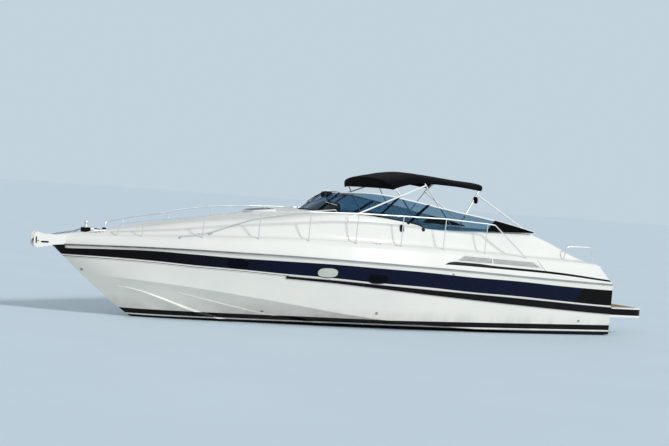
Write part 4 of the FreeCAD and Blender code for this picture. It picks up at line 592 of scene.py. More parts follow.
@dataclass(frozen=True)
class Dial(Finish):
    """An instrument's printed face behind its glass: black, with a ring of plain white marks."""

    centre: tuple[float, float, float] = (0, 0, 0)
    radius: float = 0.04
    axes: tuple[tuple[float, float, float], tuple[float, float, float]] = ((1, 0, 0), (0, 1, 0))
    marks: int = 24

    def fill(self, bench: Bench) -> None:
        """Marks round the face and one needle."""
        offset = bench.add("VectorMath", {0: bench.place, 1: self.centre}, operation="SUBTRACT")
        u, v = [bench.add("VectorMath", {0: offset, 1: axis}, "Value", operation="DOT_PRODUCT")
                for axis in self.axes]
        angle = bench.add("Math", {0: v, 1: u}, operation="ARCTAN2")
        turns = bench.add("Math", {0: angle, 1: self.marks}, operation="MULTIPLY")
        marks = bench.above(bench.add("Math", {0: turns}, operation="COSINE"), 0.72, 0.05)
        away = bench.add("VectorMath", {0: offset}, "Value", operation="LENGTH")
        ring = bench.both(bench.above(away, self.radius * 0.72, 0.0004),
                          bench.above(self.radius * 0.9, away, 0.0004))
        needle = bench.both(bench.above(0.0012, bench.add("Math", {0: v}, operation="ABSOLUTE"), 0.0003),
                            bench.above(self.radius * 0.7, u, 0.001),
                            bench.above(u, -self.radius * 0.15, 0.001))
        colour = bench.over(bench.both(ring, marks), linear(self.tone), linear("e6e6e2"))
        bench.feed("Base Color", bench.over(needle, colour, linear("d8552a")))
        bench.feed("Coat Weight", 1.0)
        bench.feed("Coat Roughness", 0.03)


HULL = HullGelcoat("hull_gelcoat", "ecece6", 0.16)
DECK = DeckGelcoat("deck_gelcoat", "eeeee9", 0.2)
SMOOTH = Gelcoat("smooth_gelcoat", "eeeee9", 0.18)
BOW = BowGelcoat("bow_platform_gelcoat", "eeeee9", 0.18)
LINER = TeakDeck("liner_gelcoat_and_teak", "ecebe5", 0.25, top=0.95, outline=(-3.36, -0.34, -1.15, 1.15))
PLATFORM = TeakDeck("platform_gelcoat_and_teak", "ecece6", 0.2, top=0.625, outline=(-7.08, -6.13, -1.5, 1.5),
                    stripe=Stripe("03050c", ((-7.3, 0.592), (-6.0, 0.606)), ((-7.3, 0.452), (-6.0, 0.466))))
CONSOLE_BLACK = Enamel("black_textured_console", "0b0c0e", 0.5, dust=0.05)
STRAKE = Enamel("strake_black_enamel", "01020a", 0.3)
WHITE_ENAMEL = Enamel("white_enamel", "f2f2f0", 0.22)
BLACK_ENAMEL = Enamel("black_enamel", "010101", 0.3, slot="black_enamel")
SCREEN_BLACK = Enamel("screen_printed_black", "010101", 0.55, dust=0.004, gloss=0.03)
ENGINE_ENAMEL = Enamel("engine_grey_enamel", "b9bdbc", 0.4, dust=0.1)
GREY_ASA = MouldedPlastic("moulded_grey_asa", "e0e2de", 0.4, grain=6.0, other_tone="c6c9c5")
BLACK_ABS = MouldedPlastic("black_abs", "060607", 0.5, other_tone="121315", slot="black_plastic")
BLACK_RUBBER = MouldedPlastic("black_rubber", "0b0b0c", 0.6, other_tone="26282a", slot="rail_rubber")
FENDER = JointRubber("extruded_pvc_fender", "141618", 0.5, other_tone="7f8486")
STEEL = PolishedSteel("polished_stainless", "f1f2f3", 0.28, metallic=1.0, slot="stainless")
SATIN_STEEL = PolishedSteel("satin_stainless", "c3c7c9", 0.46, metallic=1.0)
# Galvanised chain grey, darkened as painted shade for the shade that the chain lies in on the deck.
CHAIN_STEEL_SHADED = PolishedSteel("galvanised_chain_steel", "5d5f60", 0.42, metallic=1.0, slot="stainless")
BRONZE = CastBronze("cast_bronze", "b08a4e", 0.45, metallic=1.0)
ZINC = CastBronze("cast_zinc_anode", "9a9c98", 0.6, metallic=1.0, slot="bronze")
GLASS = TintedGlass("tinted_toughened_glass", "7f9fb5", 0.03)
ACRYLIC = SmokedAcrylic("smoked_cast_acrylic", "0b0e10", 0.12, slot="smoked_acrylic")
PANE = SmokedAcrylic("smoked_portlight_pane", "00040f", 0.06, slot="smoked_acrylic", haze=0.01, gloss=0.07)
BLIND = SmokedAcrylic("pale_blind_behind_glass", "c9ccc4", 0.12, slot="smoked_acrylic")
RED_LENS = SmokedAcrylic("red_lens", "4a0707", 0.1, slot="smoked_acrylic")
GREEN_LENS = SmokedAcrylic("green_lens", "07391b", 0.1, slot="smoked_acrylic")
HATCH_LID = FramedAcrylic("hatch_lid_acrylic_in_coated_rim", "0b0e10", 0.12, low=(1.525, -0.28),
                          high=(2.084, 0.28))
CANVAS = WovenCanvas("navy_black_canvas", "020305", slot="canopy_cloth")
WEBBING = WovenCanvas("black_webbing", "0a0a0c", slot="canopy_cloth", thread_millimetres=4.0)
VINYL = MarineVinyl("ivory_marine_vinyl", "e9e4d6", 0.42, slot="upholstery")
PIPING = MarineVinyl("navy_vinyl_piping", "10182c", 0.4, slot="upholstery")

CAD_FINISHES: tuple[tuple[Finish, str], ...] = (
    (HULL, "hull spray_rails"),
    (DECK, "deck_moulding"),
    (SMOOTH, "cockpit_benches sunpad_lid transom_gate"),
    (BOW, "bow_platform"),
    (LINER, "cockpit_liner"),
    (PLATFORM, "swim_platform"),
    (CONSOLE_BLACK, "helm_console"),
    (STRAKE, "rubbing_strakes"),
    (WHITE_ENAMEL, "windscreen_rail bimini_struts helm_seat_base foredeck_hatch_frame"),
    (BLACK_ENAMEL, "windlass_base"),
    (SCREEN_BLACK, "windscreen_mullions"),
    (ENGINE_ENAMEL, "engines"),
    (GREY_ASA, "air_intake_port air_intake_starboard"),
    (BLACK_ABS, "dashboard steering_wheel"),
    (BLACK_RUBBER, "bow_roller"),
    (FENDER, "joint_rails"),
    (STEEL, "windlass_capstan cleats side_rail_port side_rail_starboard stern_rails bimini_front_bow"
            " bimini_main_bow bimini_aft_bow door_track gate_hinge"),
    (SATIN_STEEL, "coach_roof_grab_rails"),
    (BRONZE, "propeller_port propeller_starboard shaft_brackets stern_tubes rudder_port rudder_starboard"
             " rudder_ports"),
    (GLASS, "windscreen_glass"),
    (ACRYLIC, "companionway_door"),
    (HATCH_LID, "foredeck_hatch_lid"),
    (CANVAS, "canopy"),
    (VINYL, "helm_seat_cushion bench_cushions sunpad_cushion"),
)


# Shapes

def circle(centre: Vector, u: Vector, v: Vector, radius: float, steps: int) -> list[Vector]:
    """Give points on a circle in the plane of u and v."""
    return [centre + (u * math.cos(a) + v * math.sin(a)) * radius
            for a in (2 * math.pi * i / steps for i in range(steps))]


def square_to(axis: Vector) -> tuple[Vector, Vector]:
    """Give two unit vectors square to an axis and to each other."""
    helper = UP if abs(axis.normalized().z) < 0.9 else AHEAD
    u = axis.cross(helper).normalized()
    return u, axis.cross(u).normalized()


class Form:
    """Mesh data in the boat's frame, added to shape by shape."""

    def __init__(self) -> None:
        """Start empty."""
        self.points: list[Vector] = []
        self.faces: list[list[int]] = []

    def grid(self, rows: list[list[Vector]], around: bool = False, loop: bool = False,
             caps: bool = False) -> "Form":
        """Join rows of points by quads.

        Args:
            rows: rows with like numbers of points.
            around: each row closes on itself.
            loop: the last row joins the first.
            caps: the first and last rows are filled.

        Returns:
            This form.
        """
        start, width = len(self.points), len(rows[0])
        for row in rows:
            self.points += [Vector(p) for p in row]
        for i in range(len(rows) if loop else len(rows) - 1):
            after = (i + 1) % len(rows)
            for j in range(width if around else width - 1):
                right = (j + 1) % width
                self.faces.append([start + i * width + j, start + i * width + right,
                                   start + after * width + right, start + after * width + j])
        if caps:
            self.faces.append([start + j for j in reversed(range(width))])
            self.faces.append([start + (len(rows) - 1) * width + j for j in range(width)])
        return self

    def tube(self, line: list[Vector], radius: float, steps: int = 10, loop: bool = False) -> "Form":
        """Sweep a circle along a line."""
        rows = []
        u = square_to(line[1] - line[0])[0]
        for i, point in enumerate(line):
            ahead = line[(i + 1) % len(line)] if loop or i + 1 < len(line) else point
            behind = line[i - 1] if loop or i else point
            way = (ahead - behind).normalized()
            u = (u - way * u.dot(way)).normalized()
            rows.append(circle(point, u, way.cross(u), radius, steps))
        return self.grid(rows, around=True, loop=loop, caps=not loop)

    def turned(self, foot: Vector, axis: Vector, profile: Line, steps: int = 20) -> "Form":
        """Turn a profile of radii and heights about an axis."""
        axis = axis.normalized()
        u, v = square_to(axis)
        return self.grid([circle(foot + axis * height, u, v, max(radius, LEAST_RADIUS), steps)
                          for radius, height in profile], around=True, caps=True)

    def plate(self, outline: list[Vector], rise: Vector, edge: float = 0.0) -> "Form":
        """Raise an outline to a plate with softened top edges."""
        centre = sum(outline, Vector()) / len(outline)
        reach = max((p - centre).length for p in outline)
        away = rise.normalized() * edge
        rows = [outline, [p + rise - away for p in outline]]
        if edge:
            rows.append([centre + (p - centre) * (1 - edge / reach) + rise for p in outline])
        return self.grid(rows, around=True, caps=True)

    def button(self, spot: Spot, sink: float, profile: Line, steps: int = 20) -> "Form":
        """Turn a profile on a point of a surface, sunk a little into it."""
        place, normal = spot
        return self.turned(place - normal * sink, normal, profile, steps)

    def tile(self, centre: Vector, across: Vector, up: Vector, size: tuple[float, float], rise: Vector,
             edge: float, power: float = 4, steps: int = 32) -> "Form":
        """Raise a rounded plate of one size."""
        return self.plate(rounded_outline(centre, across, up, *size, power, steps), rise, edge)

    def piece(self, name: str, finish: Finish, body: str = "root", slot: str = "", sharp: float = 35,
              weld: bool = False) -> bpy.types.Object:
        """Make the object and let it ride on a body.

        Args:
            name: the piece's name.
            finish: what it is made of.
            body: the CAD body that it moves with.
            slot: the record's material slot, where it isn't the finish's own; not used.
            sharp: the angle in degrees past which an edge shows.
            weld: shapes that share an edge are joined there.

        Returns:
            The object.
        """
        mesh = bpy.data.meshes.new(name)
        mesh.from_pydata([p[:] for p in self.points], [], self.faces)
        tidy = bmesh.new()
        tidy.from_mesh(mesh)
        if weld:
            bmesh.ops.remove_doubles(tidy, verts=tidy.verts, dist=1e-6)
        bmesh.ops.recalc_face_normals(tidy, faces=tidy.faces)
        tidy.to_mesh(mesh)
        tidy.free()
        for face in mesh.polygons:
            face.use_smooth = True
        mesh.set_sharp_from_angle(angle=math.radians(sharp))
        made = bpy.data.objects.new(name, mesh)
        bpy.context.scene.collection.objects.link(made)
        mesh.materials.append(finish.material())
        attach(made, body)
        slot = slot or finish.slot
        log.info("%s: %d faces, on %s", name, len(mesh.polygons), body)
        return made


def bent(foot: Vector, along: Vector, rise: Vector, bends: Line) -> list[Vector]:
    """Give a bent bar's line, by how far along and how far out from its foot each bend lies."""
    return [foot + along * a + rise * b for a, b in bends]


def rim_lines(rows: list[list[Vector]]) -> tuple[list[Vector], ...]:
    """Give the four edges of a grid: its first row, its last, and the rows' two ends."""
    return rows[0], rows[-1], [row[0] for row in rows], [row[-1] for row in rows]


def rounded_outline(centre: Vector, u: Vector, v: Vector, width: float, height: float, power: float = 4,
                    steps: int = 32) -> list[Vector]:
    """Give a superellipse in the plane of u and v, from oval to rounded rectangle."""
    points = []
    for i in range(steps):
        a = 2 * math.pi * (i + 0.5) / steps
        c, s = math.cos(a), math.sin(a)
        points.append(centre + u * (math.copysign(abs(c) ** (2 / power), c) * width / 2)
                      + v * (math.copysign(abs(s) ** (2 / power), s) * height / 2))
    return points


class Carrier:
    """The surface of CAD nodes that pieces are set on."""

    def __init__(self, *names: str) -> None:
        """Read the nodes' meshes."""
        points, faces = [], []
        for name in names:
            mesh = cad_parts[name].data
            start = len(points)
            points += [v.co.copy() for v in mesh.vertices]
            faces += [[start + i for i in p.vertices] for p in mesh.polygons]
        self.tree = BVHTree.FromPolygons(points, faces)

    def hit(self, start: Vector, way: Vector) -> Spot:
        """Give the first point that a ray meets, and the surface's normal there, towards the ray's start."""
        place, normal, _, _ = self.tree.ray_cast(start, way.normalized())
        if place is None:
            raise ValueError(f"no surface from {start} along {way}")
        return place, normal if normal.dot(way) < 0 else -normal

    def beside(self, x: float, z: float, side: Side = Side.PORT) -> Spot:
        """Give the outermost point at a station and height."""
        return self.hit(Vector((x, side.value * 3.5, z)), Vector((0, -side.value, 0)))

    def above(self, x: float, y: float, top: float = 4.5) -> Spot:
        """Give the topmost point at a place in plan."""
        return self.hit(Vector((x, y, top)), -UP)


# Profiles of the small turned parts: radii and heights in metres. A bezel's radii are shares of its dial's.

DRAIN: Line = ((0.026, 0), (0.026, 0.008), (0.019, 0.012), (0.016, 0.010), (0.013, 0.002))
FOOT_SWITCH: Line = ((0.036, 0), (0.036, 0.012), (0.030, 0.022), (0.016, 0.028), (0.0, 0.030))
SWITCH_RIM: Line = ((0.050, 0), (0.050, 0.006), (0.046, 0.010), (0.036, 0.010))
FILLER: Line = ((0.048, 0), (0.048, 0.005), (0.042, 0.008), (0.020, 0.008), (0.014, 0.006))
HATCH_KNOB: Line = ((0.022, 0), (0.022, 0.006), (0.012, 0.014), (0.0, 0.016))
SHORE_SOCKET: Line = ((0.042, 0), (0.042, 0.010), (0.034, 0.016), (0.022, 0.016), (0.018, 0.008))
WIPER_BOSS: Line = ((0.024, 0), (0.024, 0.014), (0.014, 0.022), (0.0, 0.024))
BEZEL: Line = ((1, 0), (1, 0.010), (0.93, 0.014), (0.86, 0.010), (0.85, 0.005))
COMPASS_BOWL: Line = ((0.062, 0), (0.062, 0.02), (0.054, 0.042), (0.047, 0.046))
FOOT_PIN: Line = ((0.012, 0), (0.016, 0.006), (0.016, 0.018), (0.012, 0.024))
GATE_LATCH: Line = ((0.026, 0), (0.026, 0.005), (0.014, 0.012), (0.0, 0.014))
FLANGE: Line = ((0.085, 0), (0.085, 0.010), (0.075, 0.016), (0.062, 0.016), (0.058, 0.002))
EXHAUST_MOUTH: Line = ((0.062, 0), (0.062, 0.009))
RUDDER_ANODE: Line = ((0.034, 0), (0.034, 0.008), (0.024, 0.014), (0, 0.015))


# Sub-assemblies

@dataclass
class Topsides:
    """Portlights and drains in the hull's sides."""

    portlights: Line = ((2.76, 1.226), (0.945, 1.142), (-0.155, 1.068))
    with_blind: int = 1
    width: float = 0.42
    height: float = 0.19
    frame_rings: Line = ((0.022, -0.004), (0.022, 0.005), (0.014, 0.009), (0.004, 0.008), (-0.006, 0.004),
                         (-0.006, -0.004))
    pane_rings: Line = ((0.99, -0.002), (0.99, 0.004), (0.6, 0.006), (0.1, 0.0065))
    drains: Line = ((-1.88, 1.218), (2.00, 0.262), (-0.28, 0.345), (-5.30, 0.310), (5.50, 0.90))
    surface: Carrier = field(default_factory=lambda: Carrier("hull"))

    def build(self) -> None:
        """Make both sides."""
        for side in Side:
            label = side.name.lower()
            frames, panes, blinds, drains = Form(), Form(), Form(), Form()
            for number, (x, z) in enumerate(self.portlights):
                self.portlight(frames, blinds if number == self.with_blind else panes, x, z, side)
            frames.piece(f"portlight_frames_{label}", BLACK_ENAMEL)
            panes.piece(f"portlight_panes_{label}", PANE)
            blinds.piece(f"portlight_blind_{label}", BLIND)
            for x, z in self.drains:
                drains.button(self.surface.beside(x, z, side), 0.004, DRAIN, 16)
            drains.piece(f"drains_{label}", BLACK_RUBBER)

    def ring(self, x: float, z: float, side: Side, width: float, height: float, out: float) -> list[Vector]:
        """Give an oval that follows the hull, set out from it."""
        flat = rounded_outline(Vector((x, 0, z)), AHEAD, UP, width, height, power=2.6, steps=40)
        return [place + normal * out for place, normal in (self.surface.beside(p.x, p.z, side) for p in flat)]

    def portlight(self, frames: Form, panes: Form, x: float, z: float, side: Side) -> None:
        """Add one portlight: its frame and its slightly domed pane."""
        w, h = self.width, self.height
        frames.grid([self.ring(x, z, side, w + extra, h + extra, out) for extra, out in self.frame_rings],
                    around=True, loop=True)
        panes.grid([self.ring(x, z, side, w * share, h * share, out) for share, out in self.pane_rings],
                   around=True, caps=True)


@dataclass
class Foredeck:
    """Chain, foot switches, deck fillers, cheek slots, hatch fittings and side lights."""

    wire: float = 0.010
    link: float = 0.058
    link_half_width: float = 0.015
    pitch_share: float = 0.62
    chain_rests: tuple[float, ...] = (5.68, 5.80, 5.95)
    switches: Line = ((5.22, 0.10), (5.22, -0.10), (5.08, 0.0))
    fillers: Line = ((3.2, 0.92), (3.2, -0.92), (-0.6, 1.62), (-0.6, -1.62))
    light_place: tuple[float, float] = (-0.80, 2.11)
    socket_place: tuple[float, float] = (-1.33, 2.11)
    deck: Carrier = field(default_factory=lambda: Carrier("deck_moulding", "bow_platform", "windlass_base"))

    def build(self) -> None:
        """Make the deck gear ahead of the screen."""
        self.chain()
        switches, rims, fillers, slots = Form(), Form(), Form(), Form()
        for x, y in self.switches:
            spot = self.deck.above(x, y)
            switches.button(spot, -0.004, FOOT_SWITCH)
            rims.button(spot, 0.003, SWITCH_RIM)
        switches.piece("windlass_foot_switches", BLACK_RUBBER)
        rims.piece("foot_switch_rims", BLACK_ABS)
        for x, y in self.fillers:
            fillers.button(self.deck.above(x, y), 0.002, FILLER)
        fillers.piece("deck_fillers", STEEL)
        cheeks = Carrier("bow_platform")
        # The cheek slots are black plates: painted shade of their openings.
        for side in Side:
            for x, z, size in ((6.438, 1.436, (0.026, 0.130)), (6.270, 1.404, (0.150, 0.034))):
                place, normal = cheeks.beside(x, z, side)
                slots.tile(place - normal * 0.004, AHEAD, normal.cross(AHEAD), size, normal * 0.0055, 0.001,
                           power=5)
        slots.piece("bow_cheek_slot_shade_plates", BLACK_ABS)
        self.hatch()
        self.side_lights()

    def chain(self) -> None:
        """Lay the chain from the windlass over the deck and the roller, link by link."""
        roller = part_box("bow_roller")
        over = Vector(((roller[0].x + roller[1].x) / 2, 0, roller[1].z + self.wire * 1.6))
        base_low, base_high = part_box("windlass_base")
        start = Vector((base_high.x + self.wire, 0, base_low.z + 0.055))
        rests = [self.deck.above(x, 0)[0] + UP * self.wire * 1.7 for x in self.chain_rests]
        line = [start, *rests, (rests[-1] + over) / 2 - UP * 0.006, over]
        steps, links = [], Form()
        for a, b in zip(line, line[1:]):
            count = max(1, round((b - a).length / (self.link * self.pitch_share)))
            steps += [(a + (b - a) * (i + 0.5) / count, (b - a).normalized()) for i in range(count)]
        half_length = (self.link - self.wire) / 2
        turns = [2 * math.pi * i / 14 for i in range(14)]
        for number, (centre, way) in enumerate(steps):
            side = way.cross(UP).normalized()
            broad = side if number % 2 else side.cross(way).normalized()
            ring = [centre + way * (half_length * math.cos(a)) + broad * (self.link_half_width * math.sin(a))
                    for a in turns]
            links.tube(ring, self.wire / 2, 6, loop=True)
        # The chain's darker steel is painted shade.
        links.piece("anchor_chain", CHAIN_STEEL_SHADED)

    def hatch(self) -> None:
        """Add the lid's two knobs and its seal."""
        body = "foredeck_hatch_lid"
        low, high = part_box(body)
        place, normal = Carrier(body).above((low.x + high.x) / 2, 0)
        fore = (AHEAD - normal * AHEAD.dot(normal)).normalized()
        knobs = Form()
        for y in (-0.17, 0.17):
            knobs.button((place - fore * 0.2 + PORT * y, normal), 0.002, HATCH_KNOB)
        knobs.piece("hatch_knobs", STEEL, body)
        bead = rounded_outline(place, fore, PORT, 0.50, 0.50, power=6, steps=48)
        Form().tube([p + normal * 0.001 for p in bead], 0.004, 6, loop=True).piece(
            "hatch_lid_seal", BLACK_RUBBER, body)

    def side_lights(self) -> None:
        """Add the red and green lights and the two sockets on the coaming."""
        coaming = Carrier("deck_moulding")
        for side, lens in zip(Side, (RED_LENS, GREEN_LENS)):
            label = side.name.lower()
            place, normal = coaming.beside(*self.light_place, side)
            up = normal.cross(AHEAD)
            for name, finish, out, size, thick in (("body", BLACK_ABS, -0.006, (0.10, 0.15), 0.030),
                                                   ("lens", lens, 0.020, (0.066, 0.07), 0.022)):
                Form().tile(place + normal * out, AHEAD, up, size, normal * thick, 0.012, power=3).piece(
                    f"side_light_{name}_{label}", finish)
            Form().button(coaming.beside(*self.socket_place, side), 0.004, SHORE_SOCKET).piece(
                f"coaming_socket_{label}", BLACK_ABS)


@dataclass
class IntakeDrains:
    """The leaning row of drain slots just aft of each air intake; each slot is a raised black plate, its
    black painted shade for the opening.
    """

    head: tuple[float, float] = (-4.073, 1.592)
    foot: tuple[float, float] = (-4.241, 1.398)
    slots: int = 7
    size: tuple[float, float] = (0.026, 0.014)
    deck: Carrier = field(default_factory=lambda: Carrier("deck_moulding"))

    def build(self) -> None:
        """Make both sides' rows."""
        for side in Side:
            row = Form()
            for number in range(self.slots):
                share = number / (self.slots - 1)
                x, z = [a + (b - a) * share for a, b in zip(self.head, self.foot)]
                place, normal = self.deck.beside(x, z, side)
                down = Vector((self.foot[0] - self.head[0], 0, self.foot[1] - self.head[1]))
                down = (down - normal * down.dot(normal)).normalized()
                # A black plate stands for each slot: painted shade of the opening.
                row.tile(place - normal * 0.004, down, normal.cross(down), self.size, normal * 0.007, 0.002,
                         power=5, steps=16)
            row.piece(f"intake_drain_slots_{side.name.lower()}", BLACK_ENAMEL)


@dataclass
class Screen:
    """Wipers and seal of the windscreen, and the instrument cowl behind it."""

    arm: float = 0.009
    arm_joints: Line = ((0.10, 2.69), (0.26, 2.59), (0.55, 2.50))
    blade: Line = ((0.36, 2.525), (0.48, 2.512), (0.60, 2.496), (0.74, 2.474))
    helm_y: float = -0.58
    cowl_arches: tuple[tuple[float, float, float], ...] = (
        (0.30, 0.29, 0.012), (0.27, 0.30, 0.040), (0.18, 0.315, 0.108), (0.06, 0.325, 0.162),
        (-0.06, 0.33, 0.188), (-0.17, 0.33, 0.190), (-0.205, 0.325, 0.184), (-0.215, 0.312, 0.172),
        (-0.200, 0.300, 0.160))
    centre_x: float = -1.6
    glass: Carrier = field(default_factory=lambda: Carrier("windscreen_glass"))
    deck: Carrier = field(default_factory=lambda: Carrier("deck_moulding"))

    def build(self) -> None:
        """Make two wipers, the seal at the foot of the glass and the cowl behind it."""
        arms, blades, motors = Form(), Form(), Form()
        for side in Side:
            out = self.on_glass(side.value * 0.10, 2.68)[1]
            pivot, elbow, middle = [self.on_glass(side.value * y, z)[0] for y, z in self.arm_joints]
            motors.tile(pivot - out * 0.004, PORT, out.cross(PORT), (0.12, 0.15), out * 0.055, 0.016, power=5)
            arms.tube([pivot + out * 0.058, elbow + out * 0.062, middle + out * 0.030], self.arm, 8)
            arms.turned(pivot + out * 0.050, out, WIPER_BOSS, 14)
            edge = [self.on_glass(side.value * y, z) for y, z in self.blade]
            blades.tube([place + normal * 0.016 for place, normal in edge], self.arm, 8)
        motors.piece("wiper_motors", BLACK_ABS)
        arms.piece("wiper_arms", BLACK_ENAMEL)
        blades.piece("wiper_blades", STEEL)
        self.seal()
        self.cowl()

    def cowl(self) -> None:
        """Raise the black instrument cowl on the dashboard and set a display in its back."""
        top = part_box("dashboard")[1].z - 0.004
        rows = []
        for x, half, height in self.cowl_arches:
            arch = []
            for i in range(29):
                c, s = math.cos(math.pi * i / 28), math.sin(math.pi * i / 28)
                across = half * math.copysign(abs(c) ** 0.5, c)
                arch.append(Vector((x, self.helm_y + across, top + height * s ** 0.6)))
            rows.append(arch)
        Form().grid(rows, around=True, caps=True).piece("instrument_cowl", BLACK_ABS)
        centre = Vector((-0.199, self.helm_y, top + 0.085))
        Form().tile(centre, PORT, UP, (0.34, 0.12), -AHEAD * 0.008, 0.003, power=8).piece(
            "chart_display", ACRYLIC)

    def on_glass(self, y: float, z: float) -> Spot:
        """Give a point on the outside of the glass and the normal there."""
        return self.glass.hit(Vector((3, y, z)), -AHEAD)

    def seal(self) -> None:
        """Run a black seal along the foot of the glass, down both sides."""
        points = [self.seal_point(math.radians(-84 + 168 * i / 56)) for i in range(57)]
        Form().tube([p for p in points if p is not None], 0.018, 8).piece("windscreen_seal", BLACK_RUBBER)

    def seal_point(self, bearing: float, top: float = 2.62, low: float = 1.9,
                   steps: int = 60) -> Vector | None:
        """Find where the glass meets the deck, by level rays from outside that step down.

        Args:
            bearing: the side that the rays come from, in radians from the bow.
            top: the height of the first ray.
            low: the height of the last ray.
            steps: the number of rays.

        Returns:
            The seal's point, or None where no glass stands.
        """
        for step in range(steps):
            z = top - (top - low) * step / (steps - 1)
            origin = Vector((self.centre_x + 4.5 * math.cos(bearing), 3.6 * math.sin(bearing), z))
            way = Vector((self.centre_x - origin.x, -origin.y, 0))
            if self.glass.tree.ray_cast(origin, way.normalized())[0] is None:
                continue
            spot, face = self.glass.hit(origin, way)
            # A ray that gets past the middle has met the far side's glass.
            if (spot - origin).dot(way) > way.length_squared:
                continue
            ground = self.deck.tree.ray_cast(spot + face * 0.006 + UP * 0.5, -UP)[0]
            if ground is not None and ground.z >= z - 0.02:
                return Vector((spot.x, spot.y, ground.z)) + face * 0.008 + UP * 0.004
        return None


@dataclass
class Helm:
    """Dials, switches, levers and compass on the console."""

    low: Vector = field(default_factory=lambda: Vector((-0.850, 0, 1.778)))
    high: Vector = field(default_factory=lambda: Vector((-0.476667, 0, 2.100)))
    dials: tuple[tuple[float, float, float], ...] = (
        (-0.62, 0.425, 0.045), (-0.50, 0.435, 0.034), (-0.74, 0.435, 0.034), (-0.28, 0.40, 0.05),
        (-0.96, 0.40, 0.05), (-0.28, 0.27, 0.034), (-0.96, 0.27, 0.034))

    def build(self) -> None:
        """Set everything on the console's sloping face."""
        rise = (self.high - self.low).normalized()
        out = rise.cross(PORT).normalized()
        bezels = Form()
        for number, (y, up, radius) in enumerate(self.dials):
            centre = self.low + rise * up + PORT * y
            bezels.button((centre, out), 0.002, [(radius * share, height) for share, height in BEZEL], 28)
            inner = radius * 0.87
            dial = Dial(f"dial_{number}", "08090a", 0.3, slot="black_plastic",
                        centre=tuple(centre + out * 0.0045), radius=inner, axes=(tuple(rise), tuple(PORT)))
            Form().button((centre, out), 0.001, ((inner, 0), (inner, 0.0055)), 28).piece(
                f"dial_face_{number}", dial)
        bezels.piece("dial_bezels", STEEL)
        self.switches(rise, out)
        self.levers(rise, out)
        self.compass()

    def switches(self, rise: Vector, out: Vector) -> None:
        """Add a panel with two rows of rocker switches."""
        centre = self.low + rise * 0.10 + PORT * -0.29
        Form().tile(centre - out * 0.001, rise, PORT, (0.12, 0.17), out * 0.006, 0.002, power=8).piece(
            "switch_panel", BLACK_ABS)
        rockers = Form()
        for row in (-0.028, 0.028):
            for column in range(5):
                spot = centre + out * 0.004 + rise * row + PORT * (-0.062 + column * 0.031)
                rockers.tile(spot, rise + out * 0.12, PORT, (0.034, 0.019), out * 0.008, 0.003,
                             power=6, steps=16)
        rockers.piece("rocker_switches", BLACK_RUBBER, slot="black_plastic")

    def levers(self, rise: Vector, out: Vector) -> None:
        """Add the twin throttle levers on their pod."""
        centre = self.low + rise * 0.10 + PORT * -0.98
        Form().tile(centre - out * 0.004, rise, PORT, (0.16, 0.10), out * 0.045, 0.02, power=3).piece(
            "throttle_pod", BLACK_ABS)
        stems, grips = Form(), Form()
        for y in (-0.022, 0.022):
            foot = centre + PORT * y + out * 0.03
            head = foot + out * 0.095 + rise * 0.05
            stems.tube([foot, foot + (head - foot) * 0.5 + rise * 0.01, head], 0.0065, 10)
            grips.tube([head - out * 0.004, head + out * 0.018, head + out * 0.038], 0.013, 12)
        stems.piece("throttle_stems", STEEL)
        grips.piece("throttle_grips", BLACK_RUBBER, slot="black_plastic")

    def compass(self) -> None:
        """Add the compass on the console's top: a dark bowl under a smoked dome."""
        place = Vector((-0.385, -0.62, 2.1))
        Form().button((place, UP), 0.002, COMPASS_BOWL).piece("compass_bowl", BLACK_ABS)
        dome = [(0.047 * math.cos(a), 0.044 + 0.036 * math.sin(a)) for a in
                (math.radians(10 * i) for i in range(10))]
        Form().turned(place, UP, [(0.047, 0.040)] + dome).piece("compass_dome", ACRYLIC)


